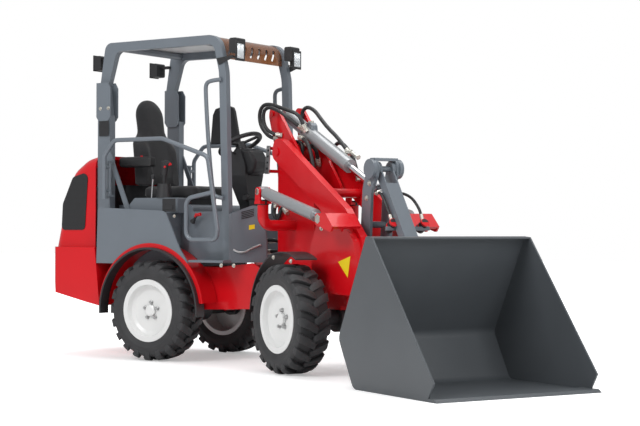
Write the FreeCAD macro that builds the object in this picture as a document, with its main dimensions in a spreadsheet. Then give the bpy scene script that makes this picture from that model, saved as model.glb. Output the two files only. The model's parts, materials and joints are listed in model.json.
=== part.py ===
import FreeCAD, Part
import math
import os

import Sketcher

# A compact articulated wheel loader: two frames hinged on an upright pin between the axles, a rollover
# canopy over the seat, and a loader arm with quick hitch and bucket.
# Each sub-part is drawn about the articulation axis (x forward, y left, z up from the ground) as if the
# machine stood straight. Front pieces are then turned by the resting steering angle.
# The machine's own origin is on the ground under the middle of its bounding box.

SIZES = (
    # stance
    ("pivot_x", -402, "articulation axis, forward of the origin"),
    ("pivot_y", 549.65, "articulation axis, left of the origin"),
    ("rest_steer", -25.8, "angle at which the front frame is parked"),
    ("axle_reach", 791, "articulation axis to each axle"),
    ("running_gap", 0.3, "clearance of round parts that turn in each other"),
    ("swing_gap", 6, "clearance beside parts that swing past"),
    # wheels
    ("tyre_radius", 342, "tyre over its tread"),
    ("tyre_width", 216, "tyre across its sidewalls"),
    ("tyre_shoulder", 34, "rounding of the tyre's shoulder"),
    ("wheel_track", 834, "between the middles of the tyres"),
    ("bead_radius", 192, "seat of the tyre on its rim"),
    ("flange_radius", 212, "outer edge of the rim"),
    ("rim_width", 196, "rim across its flanges"),
    ("rim_sheet", 9, "thickness of the rim"),
    ("dish_depth", 46, "outer flange to the face of the wheel disc"),
    ("hub_radius", 70, "hub flange behind the wheel disc"),
    ("hub_cap_radius", 38, "cap in the middle of the wheel"),
    ("hub_cap_depth", 26, "how far the cap stands out of the disc"),
    ("wheel_bolt_circle", 112, "diameter through the wheel bolts"),
    ("wheel_bolt_radius", 9, "wheel bolt head"),
    ("wheel_bolts", 5, "bolts in a wheel"),
    # axles
    ("axle_radius", 52, "axle housing"),
    ("axle_middle_radius", 92, "differential housing"),
    ("axle_middle_width", 190, "differential housing across"),
    ("hub_depth", 46, "hub flange and brake across"),
    # rear chassis
    ("chassis_rear", -1236, "rear end of the side plates"),
    ("chassis_nose", 0, "front end of the side plates"),
    ("chassis_low", 351, "lower edge of the side plates"),
    ("chassis_high", 640, "upper edge of the side plates"),
    ("chassis_width", 596, "over the side plates"),
    ("chassis_plate", 14, "side plate thickness"),
    ("nose_rise", 672, "side plate's highest point near the nose"),
    ("nose_low", 366, "side plate's lower corner at the nose"),
    ("nose_taper", 70, "how far the nose's lower corner stands back"),
    ("pivot_tube_radius", 62, "bearing tube of the articulation"),
    ("pivot_tube_low", 408, "lower end of the bearing tube"),
    ("pivot_tube_high", 592, "upper end of the bearing tube"),
    ("pivot_pin_radius", 26, "articulation pin"),
    ("neck_reach", 300, "neck that carries the bearing tube, back from its axis"),
    ("neck_width", 110, "neck across"),
    ("crossmember", 16, "thickness of the cross plates"),
    # counterweight
    ("weight_rear", -1764, "rearmost face"),
    ("weight_front_high", -1290, "front face at its top"),
    ("weight_front_low", -1244, "front face at its foot"),
    ("weight_top", 767, "upper face"),
    ("weight_skirt", 517, "lower edge of the rear face"),
    ("weight_knee_x", -1667, "where the underside levels off"),
    ("weight_knee_z", 448, "height of the underside there"),
    ("weight_foot", 362, "lower front corner"),
    ("weight_width", 984, "across"),
    ("weight_corner", 108, "bevel of the two rear corners"),
    # engine block and hood
    ("weight_foot_rise", 22, "rise of its underside behind the front corner"),
    ("coupling_low", 560, "underside of the tow coupling's pocket"),
    ("coupling_high", 80, "pocket's height"),
    ("coupling_deep", 90, "pocket's depth"),
    ("coupling_wide", 120, "pocket across"),
    ("coupling_pin", 14, "tow pin"),
    ("engine_rear", -1590, "rear face of the engine"),
    ("engine_length", 340, "engine fore and aft"),
    ("engine_width", 420, "engine across"),
    ("engine_height", 440, "engine from its mounts to its cover"),
    ("hood_front", -1340, "front edge of the hood"),
    ("hood_top", 1412, "upper edge at the hood's front, at its side"),
    ("hood_brow_x", -1450, "where the hood's top starts to fall"),
    ("hood_brow_z", 1386, "height there"),
    ("hood_crest_x", -1560, "middle of the hood's shoulder"),
    ("hood_crest_z", 1312, "height there"),
    ("hood_shoulder_x", -1632, "where the rear face starts"),
    ("hood_shoulder_z", 1212, "height there"),
    ("hood_tail_x", -1742, "foot of the rear face"),
    ("hood_width", 856, "across"),
    ("hood_sheet", 8, "thickness of the hood"),
    ("hood_round", 84, "rounding of the hood's long edges"),
    ("grille_proud", 5, "how far the grille stands off the hood"),
    # platform, side panels and console
    ("floor_top", 690, "top of the footwell floor"),
    ("floor_sheet", 16, "thickness of the floor"),
    ("floor_rear", -560, "rear edge of the floor"),
    ("floor_front", -178, "front edge of the floor"),
    ("floor_width", 796, "footwell across"),
    ("sill_width", 956, "floor across at the doors"),
    ("sill_rear", -468, "rear end of the wide part of the floor"),
    ("panel_sheet", 12, "thickness of sheet panels"),
    ("bulkhead_top", 1046, "top of the panel ahead of the feet"),
    ("cheek_nose_x", -24, "front end of the footwell's cheeks"),
    ("cheek_nose_y", 200, "front end of the cheeks, out from the middle"),
    ("cheek_nose_top", 800, "height at that end"),
    ("cheek_brow_x", -70, "highest point of the cheek"),
    ("cheek_brow_z", 1066, "height there"),
    ("side_width", 980, "over the side panels"),
    ("side_rear_low", -1275, "rear lower corner of the side panel"),
    ("side_rear_high", -1262, "rear upper corner"),
    ("side_top_rear", 1045, "height of that corner"),
    ("side_top_front", 1019, "height of the front upper corner"),
    ("side_front_high", -660, "front upper corner"),
    ("side_step_x", -531, "corner in the front edge"),
    ("side_step_z", 760, "height there"),
    ("side_low", 658, "lower edge"),
    ("arch_radius", 430, "inside of the rear wheel arch"),
    ("arch_band", 28, "width of the band round the arch"),
    ("arch_sheet", 8, "thickness of the wheel arch"),
    ("arch_inner_y", 306, "inner edge of the wheel arch"),
    ("fender_sheet", 14, "thickness of the rear mudguard"),
    ("fender_outer_y", 522, "outer edge of the rear mudguard"),
    ("fender_inner_y", 440, "inner edge of the rear mudguard"),
    ("console_front", -572, "front face of the seat console"),
    ("console_top", 1064, "top of the seat console"),
    ("box_rear", -1115, "foot of the control box's sloping rear"),
    ("box_slope", 110, "how far that slope runs"),
    ("box_front", -625, "front of the control box"),
    ("box_top", 1110, "top of the control box"),
    ("box_inner_y", 290, "inner side of the control box"),
    ("box_outer_y", 398, "outer side of the control box"),
    ("footwell_top", 1016, "upper edge of the footwell's closed side"),
    ("console_nose", 40, "bevel of the console's front edge"),
    # seat and controls
    ("seat_front", -620, "front edge of the cushion"),
    ("seat_depth", 500, "cushion fore and aft"),
    ("seat_width", 470, "cushion across"),
    ("cushion_low", 1112, "underside of the cushion"),
    ("cushion_thick", 82, "cushion"),
    ("bellows_width", 330, "seat suspension across"),
    ("bellows_length", 360, "seat suspension fore and aft"),
    ("back_foot_x", -1086, "backrest's front face at its foot"),
    ("back_lean", 115, "how far the backrest leans"),
    ("back_height", 640, "backrest"),
    ("back_thick", 96, "backrest"),
    ("back_width", 440, "backrest across"),
    ("back_head_width", 260, "headrest across"),
    ("back_neck", 430, "height at which the backrest narrows"),
    ("arm_pad_rear", -1225, "rear end of the armrest"),
    ("arm_pad_length", 300, "armrest"),
    ("arm_pad_low", 1326, "underside of the armrest"),
    ("arm_pad_thick", 76, "armrest"),
    ("arm_pad_width", 70, "armrest"),
    ("arm_pad_y", 290, "armrest, out from the middle"),
    ("stick_x", -780, "joystick"),
    ("stick_y", 353, "joystick, out from the middle"),
    ("stick_base", 56, "radius of the joystick's boot"),
    ("boot_height", 96, "joystick's boot over the console"),
    ("stick_height", 254, "joystick over the console"),
    ("stick_radius", 21, "joystick's grip"),
    ("stick_thin", 12, "joystick's stem"),
    ("pod_foot_front", -262, "steering pod's front face at the floor"),
    ("pod_foot_rear", -345, "its rear face there"),
    ("pod_waist_z", 1050, "height at which the pod starts to widen"),
    ("pod_waist_rear", -360, "its rear face there"),
    ("pod_head_z", 1265, "height of the pod's head"),
    ("pod_head_rear", -424, "rear of the pod's head"),
    ("pod_head_front", -272, "front of the pod's head"),
    ("pod_width", 210, "pod's head across"),
    ("pod_foot_width", 96, "pod's foot across"),
    ("column_half", 50, "half the flat under the steering wheel's hub"),
    ("steer_x", -394, "middle of the steering wheel"),
    ("steer_z", 1483, "middle of the steering wheel"),
    ("steer_tilt", 28, "tilt of the steering wheel"),
    ("steer_drop", 60, "steering wheel's middle down to its column"),
    ("steer_radius", 148, "middle of the steering wheel's ring"),
    ("steer_ring", 15, "radius of the ring's section"),
    # canopy
    ("post_outer_y", 412, "outer side of the rear posts"),
    ("post_width", 56, "rear post across"),
    ("post_rear", -1334, "rear face of the rear posts"),
    ("post_depth", 112, "rear post fore and aft"),
    ("post_top", 1690, "top of the fixed posts"),
    ("sleeve_top", 1920, "top of the bolted sleeve"),
    ("sleeve_sheet", 8, "sleeve plates"),
    ("tube_width", 44, "canopy tube across"),
    ("tube_depth", 62, "canopy tube in its own plane"),
    ("roof_top", 2200, "top of the canopy"),
    ("roof_rear_x", -1200, "where the roof tube meets the rear post"),
    ("roof_front_x", -290, "where the roof tube meets the front post"),
    ("front_post_x", -262, "front post's knee"),
    ("front_post_z", 1950, "height of that knee"),
    ("front_foot_x", -212, "foot of the front post"),
    ("front_post_y", 385, "outer side of the front posts"),
    ("roof_bend", 110, "bend at the front of the roof"),
    ("cross_radius", 24, "tubes across the roof"),
    ("roof_sheet", 8, "roof panel"),
    ("visor_foot_x", -300, "lower edge of the roof's curved front"),
    ("visor_foot_z", 2044, "height of that edge"),
    ("visor_bend", 104, "inner radius of the curved front"),
    ("visor_slots", 7, "slots through the curved front"),
    ("visor_slot_pitch", 84, "between two slots"),
    ("visor_slot_width", 30, "slot across"),
    ("post_kink", 26, "how far the upper rear post leans out at the sleeve"),
    ("brace_foot_x", -1075, "foot of the rear post's brace"),
    ("brace_width", 40, "rear post's brace"),
    ("brace_rise", 1405, "head of the brace"),
    ("lamp_width", 94, "work light across"),
    ("lamp_height", 100, "work light high"),
    ("lamp_depth", 66, "work light deep"),
    ("lamp_front_x", -216, "front work lights"),
    ("lamp_front_z", 2122, "front work lights"),
    ("lamp_front_y", 320, "front work lights, out from the middle"),
    ("lamp_rear_x", -1392, "rear work lights"),
    ("lamp_rear_z", 2070, "rear work lights"),
    ("lamp_rear_y", 310, "rear work lights, out from the middle"),
    # guard bars
    ("bar_y", 500, "side guards, out from the middle"),
    ("bar_radius", 15, "guard tube"),
    ("bar_rear_x", -1196, "rear leg"),
    ("bar_foot", 1103, "foot of the rear leg"),
    ("bar_shoulder_z", 1400, "rear leg's bend"),
    ("bar_top_x", -1104, "rear end of the top run"),
    ("bar_top_z", 1508, "top run"),
    ("bar_drop_x", -677, "front end of the top run"),
    ("bar_front_x", -290, "head of the front leg"),
    ("bar_front_z", 1380, "height there"),
    ("bar_toe_x", -206, "foot of the front leg"),
    ("bar_toe_z", 826, "height there"),
    ("loop_rear_x", -470, "lower loop"),
    ("loop_top", 1100, "lower loop"),
    ("bar_bend", 60, "bend of the guard tube"),
    ("bar_hinge_y", 446, "hinge of the guard, out from the middle"),
    # front frame
    ("tower_gap", 180, "between the tower's two plates"),
    ("tower_plate", 20, "tower plate"),
    ("tower_rear", 76, "rear edge of the tower plates"),
    ("tower_front", 570, "front edge of the tower plates"),
    ("beam_low", 420, "underside of the front beam"),
    ("beam_high", 600, "top of the front beam"),
    ("beam_front", 960, "front end of the beam"),
    ("lug_radius", 74, "articulation lugs"),
    ("lug_plate", 26, "articulation lugs"),
    ("arm_pivot_x", 200, "loader arm's pivot"),
    ("arm_pivot_z", 1410, "loader arm's pivot"),
    ("arm_pivot_radius", 30, "loader arm's pivot pin"),
    ("tilt_pin_x", 0, "tilt cylinder's rear pin"),
    ("tilt_pin_z", 1675, "tilt cylinder's rear pin"),
    ("pin_radius", 17, "cylinder pins"),
    ("lever_pin_radius", 40, "tilt lever's pin"),
    ("link_pin_radius", 32, "pin between the tilt lever and the tilt link, at its ends"),
    ("link_pin_middle", 18, "that pin where the tilt cylinder's rod passes"),
    ("link_spacer", 42, "spacers on it, beside the link"),
    ("link_cap_radius", 60, "heavy caps on its ends"),
    ("link_cap", 26, "heavy caps on its ends"),
    ("link_eye_radius", 44, "tilt link's upper eye"),
    ("hitch_pin_radius", 36, "pin through the arm's tips"),
    ("pin_cap", 18, "caps on the ends of the lever's and the hitch's pins"),
    ("pin_cap_wide", 16, "how far they stand out round the pin"),
    ("crank_x", 300, "bent tube that carries the lift cylinder"),
    ("crank_z", 922, "bent tube's lower run"),
    ("crank_radius", 36, "bent tube"),
    ("crank_bend", 62, "bent tube"),
    ("crank_top", 1062, "upper end of the bent tube"),
    ("fender_gap", 76, "front mudguard over the tyre"),
    ("front_fender_inner", 330, "front mudguard's inner edge"),
    ("front_fender_outer", 482, "front mudguard's outer edge"),
    ("front_fender_sheet", 8, "front mudguard"),
    # loader arm
    ("arm_gap", 275, "between the arm's two sides"),
    ("arm_box", 50, "upper arm across each side"),
    ("arm_eye", 86, "rear end of the arm"),
    ("knee_x", 1065, "upper corner of the knee"),
    ("knee_z", 1030, "upper corner of the knee"),
    ("leg_front_x", 1262, "front edge of the lower leg"),
    ("leg_front_z", 840, "its upper corner"),
    ("leg_low_x", 1300, "front edge of the lower leg, low down"),
    ("leg_low_z", 660, "its lower corner"),
    ("leg_foot_z", 486, "underside of the lower leg"),
    ("leg_foot_x", 915, "rear end of the underside"),
    ("leg_rear_x", 704, "rear edge of the lower leg"),
    ("leg_rear_z", 790, "upper end of that edge"),
    ("throat_x", 800, "where arm and leg meet, underneath"),
    ("throat_z", 1004, "where arm and leg meet, underneath"),
    ("leg_box", 98, "lower leg across each side"),
    ("tip_x", 1450, "hitch pins at the arm's tip"),
    ("tip_z", 262, "hitch pins at the arm's tip"),
    ("tip_radius", 56, "arm's tip"),
    ("arm_tube_x", 703, "tube between the arm's sides"),
    ("arm_tube_z", 1130, "tube between the arm's sides"),
    ("arm_tube_radius", 30, "tube between the arm's sides"),
    # lift cylinders
    ("lift_y", 345, "lift cylinders, out from the middle"),
    ("lift_rear_z", 1141, "lift cylinder's rear pin"),
    ("lift_front_x", 1075, "lift cylinder's front pin"),
    ("lift_front_z", 962, "lift cylinder's front pin"),
    ("lift_barrel_radius", 39, "lift cylinder"),
    ("lift_rod_radius", 20, "lift cylinder's rod"),
    ("lift_rod_start", 66, "rear pin to the rod's inner end"),
    ("lift_gland", 100, "front pin back to the barrel's end"),
    ("eye_radius", 34, "cylinder eyes"),
    ("barrel_neck", 52, "rear pin to where a cylinder's full barrel starts"),
    ("eye_width", 56, "cylinder eyes"),
    # tilt linkage
    ("lever_pin_x", 1120, "tilt lever's pivot on the arm"),
    ("lever_pin_z", 770, "tilt lever's pivot on the arm"),
    ("lever_mid_x", 1146, "tilt cylinder's pin in the lever"),
    ("lever_mid_z", 1146, "tilt cylinder's pin in the lever"),
    ("lever_top_x", 1214, "link's pin in the lever"),
    ("lever_top_z", 1268, "link's pin in the lever"),
    ("lever_gap", 126, "between the lever's plates"),
    ("lug_thick", 24, "arm's two lugs for the tilt lever"),
    ("lever_plate", 20, "lever's plates"),
    ("tilt_barrel_radius", 46, "tilt cylinder"),
    ("tilt_rod_radius", 22, "tilt cylinder's rod"),
    ("tilt_barrel_length", 900, "tilt cylinder"),
    ("tilt_rod_start", 240, "rear pin to the rod's inner end"),
    ("link_width", 96, "tilt link across"),
    ("link_plate", 10, "tilt link's two sides and its front"),
    ("link_depth", 60, "tilt link"),
    # quick hitch and bucket
    ("hitch_top_x", 1636, "link's pin in the hitch"),
    ("hitch_top_z", 622, "link's pin in the hitch"),
    ("hitch_width", 620, "quick hitch across"),
    ("hitch_plate", 24, "hitch side plates"),
    ("hook_bar_radius", 24, "bar under the bucket's hooks"),
    ("bucket_width", 1109, "bucket across"),
    ("bucket_wall", 9, "bucket's shell"),
    ("bucket_side", 11, "bucket's side plates"),
    ("bucket_lip", 2585, "cutting edge"),
    ("bucket_edge", 150, "cutting edge fore and aft"),
    ("bucket_edge_thick", 18, "cutting edge"),
    ("bucket_heel_x", 1760, "rear end of the bucket's floor"),
    ("bucket_back_x", 1597, "foot of the bucket's back"),
    ("bucket_back_z", 280, "foot of the bucket's back"),
    ("bucket_top_x", 1890, "top of the bucket's back"),
    ("bucket_top_z", 862, "top of the bucket's back"),
    ("bucket_rim", 60, "flange along the bucket's top"),
    ("bucket_side_nose", 2553, "front of the side plate over the edge"),
    ("bucket_side_step", 100, "height of the side plate's nose"),
)

doc = FreeCAD.newDocument("compact_wheel_loader")
sheet = doc.addObject("Spreadsheet::Sheet", "Sizes")


class Size:
    """A size: its number now, and the expression that ties it to the sheet."""

    def __init__(self, number, text):
        self.number = number
        self.text = text

    def __add__(self, other):
        return joined(self, "+", other)

    def __radd__(self, other):
        return joined(other, "+", self)

    def __sub__(self, other):
        return joined(self, "-", other)

    def __rsub__(self, other):
        return joined(other, "-", self)

    def __mul__(self, other):
        return joined(self, "*", other)

    def __rmul__(self, other):
        return joined(other, "*", self)

    def __truediv__(self, other):
        return joined(self, "/", other)

    def __neg__(self):
        return joined(0, "-", self)


def size_of(value):
    """The value itself, or a plain number as a Size."""
    if isinstance(value, Size):
        return value
    return Size(float(value), "(%.12g)" % value)


def joined(left, sign, right):
    left, right = size_of(left), size_of(right)
    numbers = {"+": left.number + right.number, "-": left.number - right.number,
               "*": left.number * right.number}
    if sign == "/":
        numbers["/"] = left.number / right.number
    return Size(numbers[sign], "(%s %s %s)" % (left.text, sign, right.text))


def cosine(angle):
    return Size(math.cos(math.radians(angle.number)), "cos(%s)" % angle.text)


def sine(angle):
    return Size(math.sin(math.radians(angle.number)), "sin(%s)" % angle.text)


def length_of(dx, dz):
    """Length of the line that runs dx along and dz up."""
    return Size(math.hypot(dx.number, dz.number), "sqrt(%s ^ 2 + %s ^ 2)" % (dx.text, dz.text))


class Sizes:
    """The sheet's cells, each read by its alias."""


def fill_sheet():
    cells = Sizes()
    for row, (alias, number, meaning) in enumerate(SIZES, start=1):
        sheet.set("A%d" % row, meaning)
        sheet.set("B%d" % row, "%.12g" % number)
        sheet.setAlias("B%d" % row, alias)
        setattr(cells, alias, Size(float(number), "Sizes." + alias))
    doc.recompute()
    return cells


S = fill_sheet()


def bind(thing, path, value):
    """Give a property its number and tie it to the sheet."""
    value = size_of(value)
    if "." not in path and "[" not in path:
        setattr(thing, path, value.number)
    thing.setExpression(path, value.text)


def stand(thing, frame):
    """Put a finished sub-part in its frame: rear pieces straight, front pieces steered."""
    angle = S.rest_steer if frame == "front" else size_of(0)
    thing.Placement = FreeCAD.Placement(FreeCAD.Vector(S.pivot_x.number, S.pivot_y.number, 0),
                                        FreeCAD.Rotation(FreeCAD.Vector(0, 0, 1), angle.number or 1))
    thing.setExpression(".Placement.Base.x", S.pivot_x.text)
    thing.setExpression(".Placement.Base.y", S.pivot_y.text)
    thing.setExpression(".Placement.Rotation.Angle", angle.text)


def corner_points(corners, closed):
    """Where each rounded corner leaves and meets its two lines, and the arc's centre."""
    spots = []
    count = len(corners)
    for index, corner in enumerate(corners):
        here = FreeCAD.Vector(size_of(corner[0]).number, size_of(corner[1]).number, 0)
        rounded = len(corner) > 2 and (closed or 0 < index < count - 1)
        if not rounded:
            spots.append((here, here, None, None, here))
            continue
        radius = size_of(corner[2]).number
        before, after = corners[index - 1], corners[(index + 1) % count]
        back = FreeCAD.Vector(size_of(before[0]).number, size_of(before[1]).number, 0) - here
        ahead = FreeCAD.Vector(size_of(after[0]).number, size_of(after[1]).number, 0) - here
        back.normalize()
        ahead.normalize()
        half = back.getAngle(ahead) / 2
        reach = radius / math.tan(half)
        middle = here + (back + ahead).normalize() * (radius / math.sin(half))
        spots.append((here + back * reach, here + ahead * reach, middle, corner[2], here))
    return spots


def draw_outline(sketch, corners, closed=True):
    """Lines through the corners, with an arc at each corner that has a radius."""
    spots = corner_points(corners, closed)
    count = len(corners)
    last = count if closed else count - 1
    lines = []
    for index in range(last):
        start, end = spots[index][1], spots[(index + 1) % count][0]
        lines.append(sketch.addGeometry(Part.LineSegment(start, end)))
    for index, (enter, leave, middle, radius, here) in enumerate(spots):
        before = lines[index - 1] if (closed or index > 0) else None
        after = lines[index] if index < len(lines) else None
        if middle is None:
            tie_sharp(sketch, corners[index], before, after)
        else:
            tie_round(sketch, corners[index], before, after, (enter, leave, middle, here))


def tie_sharp(sketch, corner, before, after):
    if before is not None and after is not None:
        sketch.addConstraint(Sketcher.Constraint("Coincident", before, 2, after, 1))
    edge, end = (after, 1) if after is not None else (before, 2)
    tie_point(sketch, edge, end, corner)


def tie_point(sketch, edge, end, corner):
    for kind, value in (("DistanceX", corner[0]), ("DistanceY", corner[1])):
        value = size_of(value)
        index = sketch.addConstraint(Sketcher.Constraint(kind, edge, end, value.number))
        sketch.setExpression("Constraints[%d]" % index, value.text)


def tie_round(sketch, corner, before, after, spot):
    enter, leave, middle, here = spot
    radius = (enter - middle).Length
    first = math.atan2(enter.y - middle.y, enter.x - middle.x)
    second = math.atan2(leave.y - middle.y, leave.x - middle.x)
    turn = (second - first) % (2 * math.pi)
    starts_at_enter = turn < math.pi
    if not starts_at_enter:
        first, second = second, first
    circle = Part.Circle(middle, FreeCAD.Vector(0, 0, 1), radius)
    arc = sketch.addGeometry(Part.ArcOfCircle(circle, first, second))
    mark = sketch.addGeometry(Part.Point(here), True)
    tie_point(sketch, mark, 1, corner)
    near, far = (1, 2) if starts_at_enter else (2, 1)
    sketch.addConstraint(Sketcher.Constraint("PointOnObject", mark, 1, before))
    sketch.addConstraint(Sketcher.Constraint("PointOnObject", mark, 1, after))
    sketch.addConstraint(Sketcher.Constraint("Tangent", before, 2, arc, near))
    sketch.addConstraint(Sketcher.Constraint("Tangent", after, 1, arc, far))
    index = sketch.addConstraint(Sketcher.Constraint("Radius", arc, radius))
    sketch.setExpression("Constraints[%d]" % index, size_of(corner[2]).text)


def draw_circle(sketch, centre_x, centre_y, radius):
    centre_x, centre_y, radius = size_of(centre_x), size_of(centre_y), size_of(radius)
    middle = FreeCAD.Vector(centre_x.number, centre_y.number, 0)
    edge = sketch.addGeometry(Part.Circle(middle, FreeCAD.Vector(0, 0, 1), radius.number))
    tie_point(sketch, edge, 3, (centre_x, centre_y))
    index = sketch.addConstraint(Sketcher.Constraint("Radius", edge, radius.number))
    sketch.setExpression("Constraints[%d]" % index, radius.text)


# Each plane: its role in the body, the sign of the axis that its normal follows,
# and which of x, y, z its own x, y and normal are.
PLANES = {
    "XY": ("XY_Plane", 1, (0, 1, 2)),
    "XZ": ("XZ_Plane", -1, (0, 2, 1)),
    "YZ": ("YZ_Plane", 1, (1, 2, 0)),
}


class Piece:
    """One sub-part: a body with its sketches and features, standing in the rear or front frame."""

    def __init__(self, label, frame):
        self.body = doc.addObject("PartDesign::Body", label)
        self.body.Label = label
        self.body.AllowCompound = True
        stand(self.body, frame)
        parts.append(self.body)

    def sketch(self, plane, loops, start=0, origin=(0, 0), closed=True):
        """A sketch across the plane's normal at start, with its own zero at origin."""
        role, sign, _ = PLANES[plane]
        support = [item for item in self.body.Origin.OriginFeatures if item.Role == role][0]
        sketch = self.body.newObject("Sketcher::SketchObject", "Sketch")
        sketch.AttachmentSupport = [(support, "")]
        sketch.MapMode = "FlatFace"
        offsets = (origin[0], origin[1], size_of(start) * sign)
        for letter, value in zip("xyz", offsets):
            sketch.setExpression(".AttachmentOffset.Base." + letter, size_of(value).text)
        for loop in loops:
            if isinstance(loop, tuple):
                draw_circle(sketch, *loop)
            else:
                draw_outline(sketch, loop, closed)
        return sketch

    def extrude(self, kind, plane, loops, start, depth):
        feature = self.body.newObject("PartDesign::" + kind, kind)
        feature.Profile = self.sketch(plane, loops, start)
        bind(feature, "Length", depth)
        along = PLANES[plane][1] > 0
        feature.Reversed = (not along) if kind == "Pad" else along
        return feature

    def pad(self, plane, loops, start, depth):
        """Add the loops, from start along the axis by depth."""
        return self.extrude("Pad", plane, loops, start, depth)

    def pocket(self, plane, loops, start, depth):
        """Cut the loops, from start along the axis by depth."""
        return self.extrude("Pocket", plane, loops, start, depth)

    def revolve(self, plane, loops, start, origin, axis):
        """Turn the loops round the sketch's own H_Axis or V_Axis."""
        feature = self.body.newObject("PartDesign::Revolution", "Revolution")
        sketch = self.sketch(plane, loops, start, origin)
        feature.Profile = sketch
        feature.ReferenceAxis = (sketch, [axis])
        feature.Angle = 360
        return feature

    def pipe(self, plane, route, radius, start):
        """A round bar of the radius along the route."""
        spine = self.sketch(plane, [route], start, closed=False)
        profile = self.body.newObject("Sketcher::SketchObject", "Section")
        profile.AttachmentSupport = [(spine, "Edge1")]
        profile.MapMode = "NormalToEdge"
        profile.MapPathParameter = 0
        draw_circle(profile, 0, 0, radius)
        feature = self.body.newObject("PartDesign::AdditivePipe", "Pipe")
        feature.Profile = profile
        feature.Spine = (spine, [])
        return feature

    def mirror(self):
        """Repeat all that the body holds on its other side."""
        self.body.recompute(True)
        role = [item for item in self.body.Origin.OriginFeatures if item.Role == "XZ_Plane"][0]
        feature = self.body.newObject("PartDesign::Mirrored", "Mirrored")
        feature.TransformMode = "Whole shape"
        feature.MirrorPlane = (role, [""])
        self.body.Tip = feature
        return feature

    def soften(self, kind, amount, chosen):
        """Fillet or Chamfer every edge that chosen accepts."""
        doc.recompute()
        base = self.body.Tip
        names = ["Edge%d" % (index + 1) for index, edge in enumerate(base.Shape.Edges) if chosen(edge)]
        if not names:
            raise ValueError("no edge to soften on " + self.body.Label)
        feature = self.body.newObject("PartDesign::" + kind, kind)
        feature.Base = (base, names)
        bind(feature, "Radius" if kind == "Fillet" else "Size", amount)
        return feature


parts = []


def rectangle(low_x, low_y, high_x, high_y, radius=None):
    corners = [(low_x, low_y), (high_x, low_y), (high_x, high_y), (low_x, high_y)]
    if radius is None:
        return corners
    return [(x, y, radius) for x, y in corners]


def near(value, target, reach=0.01):
    return abs(value - target) < reach


# ---------------------------------------------------------------- rear frame

def rear_chassis():
    piece = Piece("rear_chassis", "rear")
    half = S.chassis_width / 2
    side = [(S.chassis_rear, S.chassis_low), (S.chassis_rear, S.chassis_high),
            (S.chassis_nose - 330, S.chassis_high, 60), (S.chassis_nose - 60, S.nose_rise, 40),
            (S.chassis_nose, S.chassis_high - 10, 30), (S.chassis_nose - S.nose_taper, S.nose_low, 30),
            (S.chassis_nose - 480, S.chassis_low, 60)]
    piece.pad("XZ", [side], half - S.chassis_plate, S.chassis_plate)
    piece.mirror()
    inner = half - S.chassis_plate
    for x in (S.chassis_rear, -S.neck_reach - S.crossmember):
        piece.pad("XZ", [rectangle(x, S.chassis_low, x + S.crossmember, S.chassis_high)], -inner, inner * 2)
    piece.pad("XZ", [rectangle(-S.neck_reach, S.pivot_tube_low + 20, -S.pivot_tube_radius / 2,
                               S.pivot_tube_high - 20)], -S.neck_width / 2, S.neck_width)
    piece.pad("XY", [(0, 0, S.pivot_tube_radius)], S.pivot_tube_low, S.pivot_tube_high - S.pivot_tube_low)
    piece.pocket("XY", [(0, 0, S.pivot_pin_radius + S.running_gap)], S.pivot_tube_low - 1,
                 S.pivot_tube_high - S.pivot_tube_low + 2)
    seat_z = S.tyre_radius + S.axle_radius
    for side_x in (-S.axle_reach - 95, -S.axle_reach + 75):
        piece.pad("XZ", [rectangle(side_x, seat_z, side_x + 20, S.chassis_high - 40)], -inner, inner * 2)
    piece.pad("XY", [rectangle(-S.axle_reach - 95, -inner, -S.axle_reach + 95, inner)], seat_z, 20)
    clear_axle(piece, -S.axle_reach, half)


def clear_axle(piece, middle_x, half):
    """Cut the axle's housing out of the plates that sit on it."""
    middle = S.axle_middle_width / 2 + S.running_gap
    for radius, reach in ((S.axle_radius, half + 1), (S.axle_middle_radius, middle)):
        hole = (middle_x, S.tyre_radius, radius + S.running_gap)
        piece.pocket("XZ", [hole], -reach, reach * 2)


def counterweight():
    piece = Piece("counterweight", "rear")
    outline = [(S.weight_rear, S.weight_skirt, 24), (S.weight_rear, S.weight_top),
               (S.weight_front_high, S.weight_top), (S.weight_front_low, S.weight_foot),
               (S.weight_front_low - 120, S.weight_foot + S.weight_foot_rise, 60),
               (S.weight_knee_x, S.weight_knee_z, 40)]
    piece.pad("XZ", [outline], -S.weight_width / 2, S.weight_width)
    cut = [(S.weight_rear - 1, S.weight_width / 2 - S.weight_corner),
           (S.weight_rear - 1, S.weight_width / 2 + 1),
           (S.weight_rear + S.weight_corner, S.weight_width / 2 + 1)]
    mirrored = [(x, -y) for x, y in cut]
    piece.pocket("XY", [cut, mirrored], S.weight_foot - 10, S.weight_top)
    coupling = rectangle(S.weight_rear - 1, S.coupling_low, S.weight_rear + S.coupling_deep,
                         S.coupling_low + S.coupling_high)
    piece.pocket("XZ", [coupling], -S.coupling_wide / 2, S.coupling_wide)


def tow_coupling():
    """The upright pin in the counterweight's pocket."""
    piece = Piece("tow_pin", "rear")
    coupling = (S.weight_rear + S.coupling_deep / 2, 0, S.coupling_pin)
    piece.pad("XY", [coupling], S.coupling_low, S.coupling_high)


def engine_block():
    piece = Piece("engine_block", "rear")
    low = S.weight_top
    outline = rectangle(S.engine_rear, low, S.engine_rear + S.engine_length, low + S.engine_height)
    piece.pad("XZ", [outline], -S.engine_width / 2, S.engine_width)


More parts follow.
